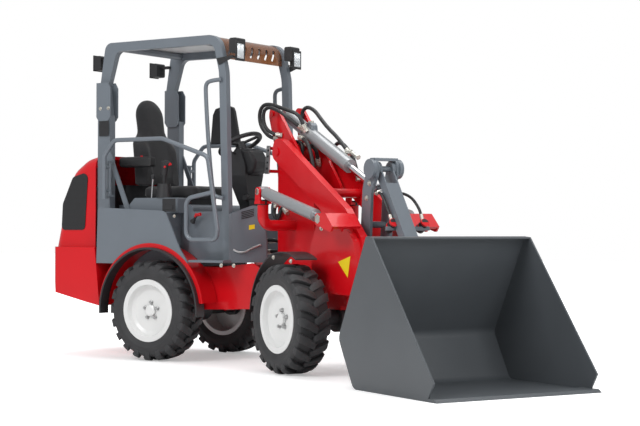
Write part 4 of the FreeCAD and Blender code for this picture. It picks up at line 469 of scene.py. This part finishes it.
def fitting(name, place, out, radius, body):
    """A zinc-plated crimp with its hexagon, on the end of a hose."""
    shape = Shape(Matrix())
    out = out.normalized()
    shape.rod(place - out * 0.012, place + out * 0.004, radius * 1.5, sides=6)
    shape.rod(place + out * 0.004, place + out * 0.040, radius * 1.28)
    shape.rod(place + out * 0.012, place + out * 0.016, radius * 1.42)
    shape.rod(place + out * 0.026, place + out * 0.030, radius * 1.42)
    return shape.add(name, body, ZINC, "steel", 0.001)


FRONT_HOSES = [
    ("tilt_hose_upper", 0.013, "tilt_barrel", "front_frame",
     [(0.345, -0.052, 1.552), (0.342, -0.080, 1.612), (0.320, -0.100, 1.655), (0.254, -0.128, 1.682),
      (0.154, -0.138, 1.706), (0.039, -0.138, 1.735), (-0.085, -0.136, 1.742), (-0.147, -0.134, 1.690),
      (-0.140, -0.130, 1.610), (-0.074, -0.128, 1.552), (-0.010, -0.126, 1.520), (0.040, -0.120, 1.508),
      (0.085, -0.112, 1.502)]),
    ("tilt_hose_lower", 0.012, "tilt_barrel", "front_frame",
     [(0.306, -0.052, 1.560), (0.300, -0.105, 1.590), (0.275, -0.155, 1.640), (0.174, -0.175, 1.690),
      (0.058, -0.175, 1.716), (-0.020, -0.172, 1.690), (-0.022, -0.168, 1.610), (0.020, -0.160, 1.560),
      (0.080, -0.140, 1.532), (0.125, -0.112, 1.524)]),
    ("tilt_hose_far", 0.013, "front_frame", "tilt_barrel",
     [(0.080, 0.070, 1.560), (0.076, 0.072, 1.640), (0.084, 0.074, 1.700), (0.150, 0.074, 1.722),
      (0.250, 0.072, 1.690), (0.338, 0.070, 1.625), (0.432, 0.070, 1.560), (0.527, 0.070, 1.508),
      (0.632, 0.066, 1.440), (0.715, 0.055, 1.388)]),
    ("tower_hose_a", 0.013, "front_frame", None,
     [(0.260, -0.074, 1.305), (0.273, -0.060, 1.346), (0.288, -0.040, 1.420), (0.270, -0.036, 1.466),
      (0.218, -0.045, 1.484), (0.161, -0.070, 1.470)]),
    ("tower_hose_b", 0.013, "front_frame", None,
     [(0.302, 0.074, 1.332), (0.322, 0.050, 1.386), (0.340, 0.030, 1.422), (0.296, 0.020, 1.458),
      (0.211, 0.020, 1.456)]),
    ("tower_hose_c", 0.013, "front_frame", None,
     [(0.300, -0.066, 1.500), (0.385, -0.066, 1.480), (0.439, -0.066, 1.395), (0.474, -0.066, 1.284),
      (0.470, -0.066, 1.175)]),
    ("far_arm_hose", 0.013, "front_frame", "lift_arm",
     [(0.400, 0.115, 1.415), (0.470, 0.112, 1.472), (0.566, 0.108, 1.451), (0.644, 0.110, 1.390),
      (0.695, 0.112, 1.333), (0.740, 0.112, 1.220)]),
    ("arm_hose", 0.009, "lift_arm", None,
     [(0.817, -0.120, 1.074), (0.893, -0.120, 1.033), (0.968, -0.120, 0.980), (1.017, -0.120, 0.928),
      (1.042, -0.120, 0.876), (1.041, -0.120, 0.772)]),
    ("link_hose_near", 0.009, "tilt_link", None,
     [(1.215, -0.050, 1.120), (1.250, -0.058, 1.130), (1.305, -0.064, 1.095), (1.350, -0.064, 1.030),
      (1.378, -0.062, 0.985), (1.394, -0.060, 0.952)]),
    ("link_hose_far", 0.009, "tilt_link", None,
     [(1.192, 0.060, 1.110), (1.232, 0.100, 1.128), (1.288, 0.150, 1.101), (1.345, 0.167, 1.035),
      (1.372, 0.167, 0.991), (1.388, 0.167, 0.955)]),
    ("crank_hose_upper", 0.013, "front_frame", None,
     [(0.095, -0.126, 1.078), (0.062, -0.130, 1.040), (0.062, -0.132, 0.985), (0.110, -0.132, 0.958),
      (0.150, -0.132, 1.010), (0.180, -0.132, 1.050), (0.226, -0.126, 1.009)]),
]
CHASSIS_HOSES = [(-0.042, 0.022), (0.0, -0.055), (0.050, 0.020)]


def add_hoses():
    for name, radius, body, far_body, points in FRONT_HOSES:
        hose(name, FRONT, points, radius, body, far_body)
    for index, (y, drop) in enumerate(CHASSIS_HOSES):
        points = [(-0.170, y, 0.795 + drop), (-0.076, y, 0.806 + drop), (0.0, y, 0.780 + drop),
                  (0.060, y, 0.800 + drop), (0.110, y, 0.812 + drop)]
        hose("chassis_hose_" + str(index + 1), REAR, points, 0.012, "rear_frame", "front_frame")


def add_cylinder_fittings():
    block = Shape(FRONT)
    block.outline([(0.289, 1.545), (0.289, 1.600), (0.350, 1.600), (0.372, 1.580), (0.386, 1.500)],
                  -0.022, 0.022)
    block.outline([(0.060, 1.672), (0.060, 1.640), (0.286, 1.536), (0.300, 1.548), (0.286, 1.574)],
                  -0.060, -0.050)
    block.add("tilt_port_block", "tilt_barrel", GREY, "grey_paint")
    silver = Shape(FRONT)
    silver.rod((0.700, 0.040, 1.392), (0.745, 0.058, 1.392), 0.017, sides=6)
    silver.rod((0.735, 0.060, 1.392), (0.800, 0.060, 1.362), 0.012)
    silver.rod((0.796, 0.060, 1.366), (0.822, 0.060, 1.354), 0.018, sides=6)
    for x, z in ((0.342, 1.607), (0.308, 1.607)):
        silver.rod((x, 0.0, z - 0.010), (x, 0.0, z + 0.006), 0.012, sides=6)
    silver.add("tilt_port_fittings", "tilt_barrel", ZINC, "steel", 0.001)


# ---------------------------------------------------------------- couplers, bolts and pins

def add_couplers():
    bar = Shape(FRONT)
    bar.block((1.392, -0.105, 0.893), (1.412, 0.205, 0.917))
    bar.add("coupler_bar", "tilt_link", GREY, "grey_paint")
    for index, y in enumerate((-0.060, 0.167)):
        body = Shape(FRONT)
        body.rod((1.372, y, 0.912), (1.420, y, 0.944), 0.026)
        body.rod((1.352, y, 0.899), (1.374, y, 0.913), 0.030)
        body.rod((1.392, y, 0.955), (1.392, y, 0.930), 0.017, sides=6)
        body.add("coupler_%d" % (index + 1), "tilt_link", BLACK, "black_plastic")
        ring = Shape(FRONT)
        ring.rod((1.376, y, 0.9147), (1.386, y, 0.9213), 0.0285)
        ring.rod((1.410, y, 0.9373), (1.420, y, 0.944), 0.0280)
        ring.add("coupler_ring_%d" % (index + 1), "tilt_link", RED, "red_paint", 0.0015)


def add_linkage_bolts():
    arm = Shape(FRONT)
    for side in (1, -1):
        arm.rod((1.075, side * 0.379, 0.962), (1.075, side * 0.392, 0.962), 0.030, sides=6)
        arm.nut((1.108, side * 0.379, 0.905), (0, side, 0), 0.012)
    arm.add("arm_bolts", "lift_arm", ZINC, "steel", 0.0015)
    gusset = Shape(FRONT)
    for side in (1, -1):
        gusset.outline([(1.150, 0.996), (1.170, 0.996), (1.250, 0.918), (1.234, 0.903)],
                       side * 0.187, side * 0.2365)
    gusset.add("bracket_gussets", "lift_arm", RED, "red_paint", 0.001)
    lever = Shape(FRONT)
    for side in (1, -1):
        lever.nut((1.180, side * 0.083, 1.180), (0, side, 0), 0.013)
        lever.nut((1.150, side * 0.083, 1.090), (0, side, 0), 0.013)
    lever.add("lever_bolts", "tilt_lever", ZINC, "steel", 0.001)
    frame_bolts = Shape(FRONT)
    for side in (1, -1):
        frame_bolts.nut((0.300, side * 0.363, 1.141), (0, side, 0), 0.024, 0.030)
        for x, z in ((0.765, 0.724), (0.983, 0.705)):
            frame_bolts.nut((x, side * 0.520, z), (0, side, 0), 0.010)
    frame_bolts.add("front_bolts", "front_frame", ZINC, "steel", 0.001)
    plate = Shape(FRONT)
    plate.outline([(0.069, 1.455), (0.113, 1.453), (0.097, 1.265), (0.039, 1.267)], -0.194, -0.186)
    plate.add("slotted_plate", "front_frame", STEEL, "steel", 0.0015)
    stays = Shape(FRONT)
    for x, z in ((0.088, 1.436), (0.074, 1.284)):
        stays.rod((x, -0.108, z), (x, -0.187, z), 0.011)
    stays.add("plate_stays", "front_frame", RED, "red_paint", 0.001)
    bands = Shape(FRONT)
    for side in (1, -1):
        bands.rod((0.300, side * 0.345, 1.056), (0.300, side * 0.345, 1.090), 0.041)
    bands.add("crank_bands", "front_frame", BLACK, "black_plastic", 0.003)
    slots = Shape(FRONT)
    for index in range(4):
        z = 1.295 + index * 0.040
        slots.block((0.064 + index * 0.006, -0.1955, z), (0.086 + index * 0.006, -0.1935, z + 0.014))
    slots.add("plate_slots", "front_frame", BLACK, "black_plastic", 0.0005)


# ---------------------------------------------------------------- driver's place

def add_handles():
    """A bent rail inside each front post, its ends in the post."""
    for side, word in ((-1, "right"), (1, "left")):
        y, post_y = side * 0.400, side * 0.392
        rail = Shape(REAR)
        rail.tube([(-0.258, post_y, 1.895), (-0.341, y, 1.892), (-0.384, y, 1.872), (-0.386, y, 1.812),
                   (-0.362, y, 1.470), (-0.325, y, 1.143), (-0.300, y, 1.110), (-0.238, post_y, 1.104)],
                  0.014)
        rail.add("grab_handle_" + word, "rear_frame", GREY, "grey_paint", 0)


def add_side_shield():
    panel = Shape(REAR)
    panel.outline([(-1.035, 1.520), (-1.014, 1.737), (-0.990, 1.783), (-0.940, 1.795), (-0.860, 1.799),
                   (-0.822, 1.788), (-0.808, 1.755), (-0.760, 1.520)], 0.488, 0.512)
    panel.add("side_shield", "guard_left", BLACK, "black_plastic", 0.008)


def add_steering():
    pod = Shape(REAR)
    pod.outline([(-0.470, 1.330), (-0.300, 1.250), (-0.215, 1.290), (-0.205, 1.360), (-0.250, 1.440),
                 (-0.330, 1.455), (-0.440, 1.395)], -0.085, 0.085)
    pod.add("steering_pod", "rear_frame", BLACK, "black_plastic", 0.022)
    dial = Shape(REAR)
    dial.slab([(-0.345, -0.060, 1.452), (-0.262, -0.060, 1.438), (-0.262, 0.060, 1.438),
               (-0.345, 0.060, 1.452)], -0.004)
    dial.add("dial_glass", "rear_frame", LAMP, "lamp", 0.001)
    levers = Shape(REAR)
    levers.rod((-0.278, 0.0, 1.111), (-0.278, -0.075, 1.111), 0.012)
    levers.rod((-0.278, -0.075, 1.111), (-0.278, -0.105, 1.111), 0.026, 0.020, sides=10)
    for y in (-0.110, 0.110):
        levers.rod((-0.370, y * 0.6, 1.405), (-0.352, y * 1.5, 1.425), 0.006)
        levers.rod((-0.352, y * 1.5, 1.425), (-0.349, y * 1.7, 1.428), 0.011)
    levers.add("column_levers", "rear_frame", BLACK, "black_plastic", 0.001)


def add_controls():
    """The joystick's boot and grip, and the small lever behind it."""
    stick_x, stick_y, fold = -0.780, -0.353, 0.015
    boot = Shape(REAR)
    for index in range(6):
        z = 1.118 + index * fold
        wide = 0.056 - index * 0.0065
        boot.rod((stick_x, stick_y, z), (stick_x, stick_y, z + 0.008), wide, wide * 0.94, sides=32)
        boot.rod((stick_x, stick_y, z + 0.008), (stick_x, stick_y, z + fold), wide * 0.80, sides=32)
    boot.add("lever_boot", "rear_frame", HOSE, "black_plastic", 0.001)
    grip = Shape(REAR)
    grip.rod((stick_x, stick_y, 1.205), (-0.778, stick_y, 1.275), 0.014, 0.018)
    grip.tube([(stick_x, stick_y, 1.262), (-0.775, stick_y, 1.300), (-0.765, stick_y, 1.334),
               (-0.748, stick_y, 1.358)], 0.0245, 18)
    grip.add("lever_grip", "rear_frame", BLACK, "black_plastic", 0.001)
    buttons = Shape(REAR)
    buttons.rod((-0.752, stick_y, 1.334), (-0.722, stick_y, 1.342), 0.0095)
    buttons.rod((-0.760, -0.372, 1.318), (-0.744, -0.390, 1.322), 0.0075)
    buttons.rod((-1.027, -0.300, 1.400), (-1.027, -0.300, 1.407), 0.009)
    buttons.add("red_buttons", "rear_frame", RED, "red_paint", 0.001)
    second = Shape(REAR)
    second.tube([(-0.860, -0.390, 1.108), (-0.856, -0.390, 1.170), (-0.850, -0.390, 1.240)], 0.0055)
    second.add("second_lever", "rear_frame", CHROME, "chrome", 0)
    knob = Shape(REAR)
    knob.rod((-0.850, -0.390, 1.238), (-0.847, -0.390, 1.262), 0.014, 0.017)
    knob.rod((-0.847, -0.390, 1.262), (-0.846, -0.390, 1.272), 0.017, 0.009)
    knob.add("second_lever_knob", "rear_frame", BLACK, "black_plastic", 0.001)


def add_panel_details():
    dark = Shape(REAR)
    dark.outline([(-0.691, 1.013), (-0.691, 1.102), (-0.578, 1.102), (-0.578, 1.013)], -0.4815, -0.4785)
    dark.outline([(-0.675, 1.028), (-0.675, 1.058), (-0.597, 1.058), (-0.597, 1.028)], -0.486, -0.4815)
    dark.outline([(-1.316, 1.546), (-1.316, 1.652), (-1.226, 1.652), (-1.226, 1.546)], -0.4215, -0.4185)
    dark.add("dark_panels", "rear_frame", BLACK, "black_plastic", 0.0015)
    bolts = Shape(REAR)
    for x, z in ((-0.686, 0.984), (-0.588, 0.983)):
        bolts.nut((x, -0.4785, z), (0, -1, 0), 0.008)
    for x in (-0.188, -0.085):
        bolts.nut((x, -0.482, 0.658), (0, -1, 0), 0.010)
    for x, z in ((-1.305, 1.739), (-1.232, 1.740)):
        bolts.nut((x, -0.4185, z), (0, -1, 0), 0.010)
        bolts.nut((x, 0.4185, z), (0, 1, 0), 0.010)
    bolts.add("panel_bolts", "rear_frame", ZINC, "steel", 0.001)
    yellow = Shape(REAR)
    yellow.outline([(-1.326, 1.910), (-1.326, 2.004), (-1.280, 2.004), (-1.280, 1.910)], 0.378, 0.380)
    yellow.slab([(-0.102, -0.293, 0.892), (-0.077, -0.262, 0.900), (-0.077, -0.262, 0.929),
                 (-0.102, -0.293, 0.923)], 0.002)
    yellow.add("yellow_labels", "rear_frame", YELLOW, "white_paint", 0.0005)
    handle = Shape(REAR)
    handle.tube([(-0.172, -0.372, 0.761), (-0.150, -0.362, 0.744), (-0.114, -0.322, 0.742),
                 (-0.080, -0.285, 0.775), (-0.046, -0.235, 0.793)], 0.007)
    handle.add("cheek_handle", "rear_frame", STEEL, "steel", 0)
    vents = Shape(REAR)
    for index in range(5):
        rise = index * 0.011
        vents.slab([(-0.136, -0.332, 0.962 + rise), (-0.080, -0.266, 0.984 + rise),
                    (-0.080, -0.266, 0.990 + rise), (-0.136, -0.332, 0.968 + rise)], 0.003)
    vents.add("cheek_vents", "rear_frame", BLACK, "black_plastic", 0.0005)


def add_release():
    """The red release lever on the footwell's side, with its boot."""
    boot = Shape(REAR)
    boot.rod((-0.520, -0.368, 0.945), (-0.500, -0.374, 0.962), 0.019, 0.012)
    boot.rod((-0.500, -0.374, 0.962), (-0.478, -0.380, 0.984), 0.008)
    boot.add("release_boot", "rear_frame", BLACK, "black_plastic", 0.001)
    grip = Shape(REAR)
    grip.rod((-0.482, -0.384, 0.990), (-0.438, -0.384, 0.997), 0.010, 0.012)
    grip.rod((-0.486, -0.384, 0.978), (-0.474, -0.384, 1.000), 0.009)
    grip.add("release_grip", "rear_frame", RED, "red_paint", 0.002)


def add_lamps():
    """Each lamp has a rim and a ribbed glass on its open face."""
    half = 0.036
    for name, x, faces, low_z, high_z, out in (("front", -0.150, (0.333, -0.333), 2.034, 2.132, 1),
                                               ("rear", -1.425, (0.310, -0.310), 2.030, 2.110, -1)):
        glass = Shape(REAR)
        rim = Shape(REAR)
        rib_x = x + 0.005 * out
        for y in faces:
            rim.block((x - 0.004, y - half - 0.014, low_z - 0.016),
                      (x + 0.004, y + half + 0.014, high_z + 0.016))
            glass.block((x - 0.006, y - half, low_z), (x + 0.006, y + half, high_z))
            for index in range(7):
                across = y - half + 0.008 + index * (half * 2 - 0.016) / 6
                glass.rod((rib_x, across, low_z + 0.006), (rib_x, across, high_z - 0.006), 0.004, sides=8)
        glass.add(name + "_lamp_glass", "rear_frame", LAMP, "lamp", 0.001)
        rim.add(name + "_lamp_rim", "rear_frame", BLACK, "lamp", 0.002)


def add_blank_mark():
    """A plain triangle where the arm's side has a sign."""
    mark = Shape(FRONT)
    mark.outline([(1.068, 0.700), (1.181, 0.607), (1.211, 0.737)], -0.2385, -0.2365)
    mark.add("blank_mark", "lift_arm", YELLOW, "white_paint", 0.0005)


# ---------------------------------------------------------------- wheels

CARCASS = [(-0.0885, 0.1935), (-0.0885, 0.2130), (-0.0975, 0.2150), (-0.1010, 0.2300), (-0.1030, 0.2330),
           (-0.1045, 0.2480), (-0.1060, 0.2500), (-0.1062, 0.2720), (-0.1040, 0.2920), (-0.0960, 0.3060),
           (-0.0700, 0.3150), (-0.0300, 0.3180)]
LUG = [  # outer y, outer r, inner y, inner r, lead in degrees, half width
    (-0.0140, 0.3320, -0.0140, 0.3140, -0.6, 0.016),
    (0.0000, 0.3405, 0.0000, 0.3140, 0.6, 0.024),
    (0.0500, 0.3415, 0.0500, 0.3130, 5.2, 0.026),
    (0.0860, 0.3370, 0.0840, 0.3080, 8.0, 0.027),
    (0.1065, 0.3200, 0.0960, 0.3000, 9.0, 0.026),
    (0.1076, 0.3000, 0.1020, 0.2880, 9.4, 0.020),
    (0.1070, 0.2840, 0.1040, 0.2800, 9.6, 0.014),
]
LUGS = 20
WHEEL_X, WHEEL_Y, WHEEL_RADIUS = 0.791, 0.417, 0.342  # middle from the pivot and from the mid-plane
CAP = [(0.078, 0.0), (0.0778, 0.024), (0.074, 0.032), (0.066, 0.0365), (0.052, 0.0385)]  # y, radius
NUTS, NUT_CIRCLE = 5, 0.056


def lug_points(side, start):
    points = []
    for outer_y, outer_r, inner_y, inner_r, lead, half in LUG:
        for y, radius, sign in ((inner_y, inner_r, -1), (outer_y, outer_r, -1), (outer_y, outer_r, 1),
                                (inner_y, inner_r, 1)):
            turn = start + math.radians(lead) + sign * half / radius
            points.append((radius * math.cos(turn), y * side, radius * math.sin(turn)))
    return points


def lug_faces(first, side):
    faces = [(first, first + 1, first + 2, first + 3)]
    for row in range(len(LUG) - 1):
        a, b = first + row * 4, first + row * 4 + 4
        faces += [(a + k, b + k, b + (k + 1) % 4, a + (k + 1) % 4) for k in range(4)]
    last = first + (len(LUG) - 1) * 4
    faces.append((last + 3, last + 2, last + 1, last))
    return faces if side > 0 else [tuple(reversed(face)) for face in faces]


def wheel(name, frame_matrix, middle_x, side, body):
    """The treaded tyre, and the nuts and cap on its rim."""
    profile = CARCASS + [(-y, radius) for y, radius in reversed(CARCASS)]
    points, faces = spun(profile, 96)
    for flank in (1, -1):
        for index in range(LUGS):
            start = 2 * math.pi * (index + (0.5 if flank < 0 else 0)) / LUGS
            faces += lug_faces(len(points), flank)
            points += lug_points(flank, start)
    mesh = bpy.data.meshes.new(name + "_tread")
    mesh.from_pydata(points, [], faces)
    centre = frame_matrix @ Matrix.Translation((middle_x, WHEEL_Y * side, WHEEL_RADIUS))
    tread = add_piece(name + "_tread", mesh, body, TYRE, centre)
    bevel = tread.modifiers.new("edge", "BEVEL")
    bevel.width = 0.003
    bevel.segments = 2
    bevel.angle_limit = math.radians(35)
    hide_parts(name + "_tyre")
    wheel_nuts(name, centre, side, body)


def wheel_nuts(name, centre, side, body):
    build = bmesh.new()
    face_y = 0.052 * side
    for index in range(NUTS):
        turn = math.radians(index * 72 + 90)
        place = Matrix.Translation((NUT_CIRCLE * math.cos(turn), face_y + 0.010 * side,
                                    NUT_CIRCLE * math.sin(turn)))
        place = place @ Matrix.Rotation(math.pi / 2, 4, "X")
        bmesh.ops.create_cone(build, cap_ends=True, segments=6, radius1=0.0115, radius2=0.0105, depth=0.018,
                              matrix=place)
        bmesh.ops.create_cone(build, cap_ends=True, segments=20, radius1=0.0150, radius2=0.0150, depth=0.004,
                              matrix=place @ Matrix.Translation((0, 0, 0.008 * side)))
    mesh = bpy.data.meshes.new(name + "_nuts")
    build.to_mesh(mesh)
    build.free()
    add_piece(name + "_nuts", mesh, body, STEEL, centre, smooth=False)
    points, faces = spun([(y * side, radius) for y, radius in CAP], 40)
    mesh = bpy.data.meshes.new(name + "_cap")
    mesh.from_pydata(points, [], faces)
    add_piece(name + "_cap", mesh, body, CYLINDER, centre)


def add_wheels():
    for side, word in ((-1, "right"), (1, "left")):
        wheel("rear_wheel_" + word, REAR, -WHEEL_X, side, "rear_wheel_" + word)
        wheel("front_wheel_" + word, FRONT, WHEEL_X, side, "front_wheel_" + word)


# ---------------------------------------------------------------- seat

BACK_FOOT, BACK_TOP, BACK_ROUND = 1.205, 1.832, 1.700
BACK_LEVELS, BACK_AROUND = 40, 48
CLOTH_FRAMES = 15
CLOTH_OVER = 0.004  # how far a pad may swell past its solid's box


def back_form(name):
    """The seat's back: wide and winged below, then a narrower back with a round head."""
    build = bmesh.new()
    rings = []
    for index in range(BACK_LEVELS + 1):
        height = BACK_FOOT + (BACK_TOP - BACK_FOOT) * (1 - (1 - index / BACK_LEVELS) ** 1.25)
        rise = (height - BACK_FOOT) / (BACK_TOP - BACK_FOOT)
        half = 0.208 - 0.066 * smooth(height, 1.50, 1.60)
        thick = 0.058 - 0.022 * rise
        if height > BACK_ROUND:
            crown = math.sqrt(max(0.004, 1 - ((height - BACK_ROUND) / (BACK_TOP - BACK_ROUND + 0.001)) ** 2))
            half *= crown
            thick *= 0.35 + 0.65 * crown
        middle = -1.140 - 0.085 * rise
        wing = 0.034 * (1 - smooth(height, 1.44, 1.56))
        ring = []
        for step in range(BACK_AROUND):
            turn = 2 * math.pi * step / BACK_AROUND
            side = math.copysign(abs(math.sin(turn)) ** 0.7, math.sin(turn))
            deep = math.copysign(abs(math.cos(turn)) ** 0.7, math.cos(turn))
            out = wing * smooth(abs(side), 0.45, 0.80) if deep > 0 else 0
            ring.append(build.verts.new(REAR @ Vector((middle + deep * thick + out, side * half, height))))
        rings.append(ring)
    for here, there in zip(rings, rings[1:]):
        for step in range(BACK_AROUND):
            after = (step + 1) % BACK_AROUND
            build.faces.new((here[step], here[after], there[after], there[step]))
    build.faces.new(list(reversed(rings[0])))
    build.faces.new(rings[-1])
    bmesh.ops.recalc_face_normals(build, faces=build.faces)
    mesh = bpy.data.meshes.new(name)
    build.to_mesh(mesh)
    build.free()
    return mesh


def smooth(value, low, high):
    part = min(max((value - low) / (high - low), 0), 1)
    return part * part * (3 - 2 * part)


def stuffed(name, node, shrink, swell, material, form=None):
    """A sewn pad in the place of a plain solid, swollen by a cloth simulation."""
    mesh = form or NODES[node].data.copy()
    mesh.name = name
    mesh.materials.clear()
    corner = [Vector(point.co) for point in NODES[node].data.vertices]
    low = Vector([min(point[axis] for point in corner) for axis in range(3)])
    high = Vector([max(point[axis] for point in corner) for axis in range(3)])
    if form is None:
        shrink_mesh(mesh, low, high, shrink)
    piece = bpy.data.objects.new(name, mesh)
    bpy.context.collection.objects.link(piece)
    mesh.materials.append(material)
    apply_modifier(piece, "REMESH", voxel_size=0.009, mode="VOXEL")
    inflate(piece, swell)
    apply_modifier(piece, "SMOOTH", iterations=4, factor=0.5)
    apply_modifier(piece, "SUBSURF", levels=1)
    keep_inside(piece.data, low, high)
    for face in piece.data.polygons:
        face.use_smooth = True
    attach(piece, "rear_frame")
    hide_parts(node)
    return piece


def shrink_mesh(mesh, low, high, shrink):
    """The mesh drawn in from its box, to leave room for the cloth to swell."""
    middle = (low + high) / 2
    for point in mesh.vertices:
        for axis in range(3):
            half = (high[axis] - low[axis]) / 2
            point.co[axis] = middle[axis] + (point.co[axis] - middle[axis]) * (half - shrink[axis]) / half


def apply_modifier(piece, kind, **settings):
    change = piece.modifiers.new(kind.lower(), kind)
    for name, value in settings.items():
        setattr(change, name, value)
    bake(piece)


def bake(piece):
    """Keep the piece's mesh as its modifiers leave it."""
    graph = bpy.context.evaluated_depsgraph_get()
    mesh = bpy.data.meshes.new_from_object(piece.evaluated_get(graph))
    piece.modifiers.clear()
    old = piece.data
    piece.data = mesh
    bpy.data.meshes.remove(old)


def inflate(piece, swell):
    start = [point.co.copy() for point in piece.data.vertices]
    cloth = piece.modifiers.new("cloth", "CLOTH")
    cloth.settings.use_pressure = True
    cloth.settings.uniform_pressure_force = 4.0
    cloth.settings.effector_weights.gravity = 0.0
    cloth.settings.quality = 4
    scene = bpy.context.scene
    for number in range(1, CLOTH_FRAMES + 1):
        scene.frame_set(number)
    bake(piece)
    scene.frame_set(1)
    for point, before in zip(piece.data.vertices, start):
        step = point.co - before
        if step.length > swell:
            point.co = before + step.normalized() * swell


def keep_inside(mesh, low, high):
    """No point stands further out than the solid's box, but for a little cloth."""
    for point in mesh.vertices:
        for axis in range(3):
            point.co[axis] = min(max(point.co[axis], low[axis] - CLOTH_OVER), high[axis] + CLOTH_OVER)


def add_seat():
    stuffed("seat_pad", "seat_cushion", (0.012, 0.012, 0.012), 0.014, SEAT)
    stuffed("back_pad", "seat_backrest", (0.012, 0.012, 0.012), 0.010, SEAT, back_form("back_form"))
    stuffed("armrest_pad", "armrest", (0.004, 0.004, 0.004), 0.004, VINYL)


add_camera()
add_studio()
add_floor()
dress_frame()
add_wheels()
add_seat()
add_hoses()
add_cylinder_fittings()
add_couplers()
add_linkage_bolts()
add_handles()
add_side_shield()
add_steering()
add_controls()
add_panel_details()
add_release()
add_lamps()
add_blank_mark()
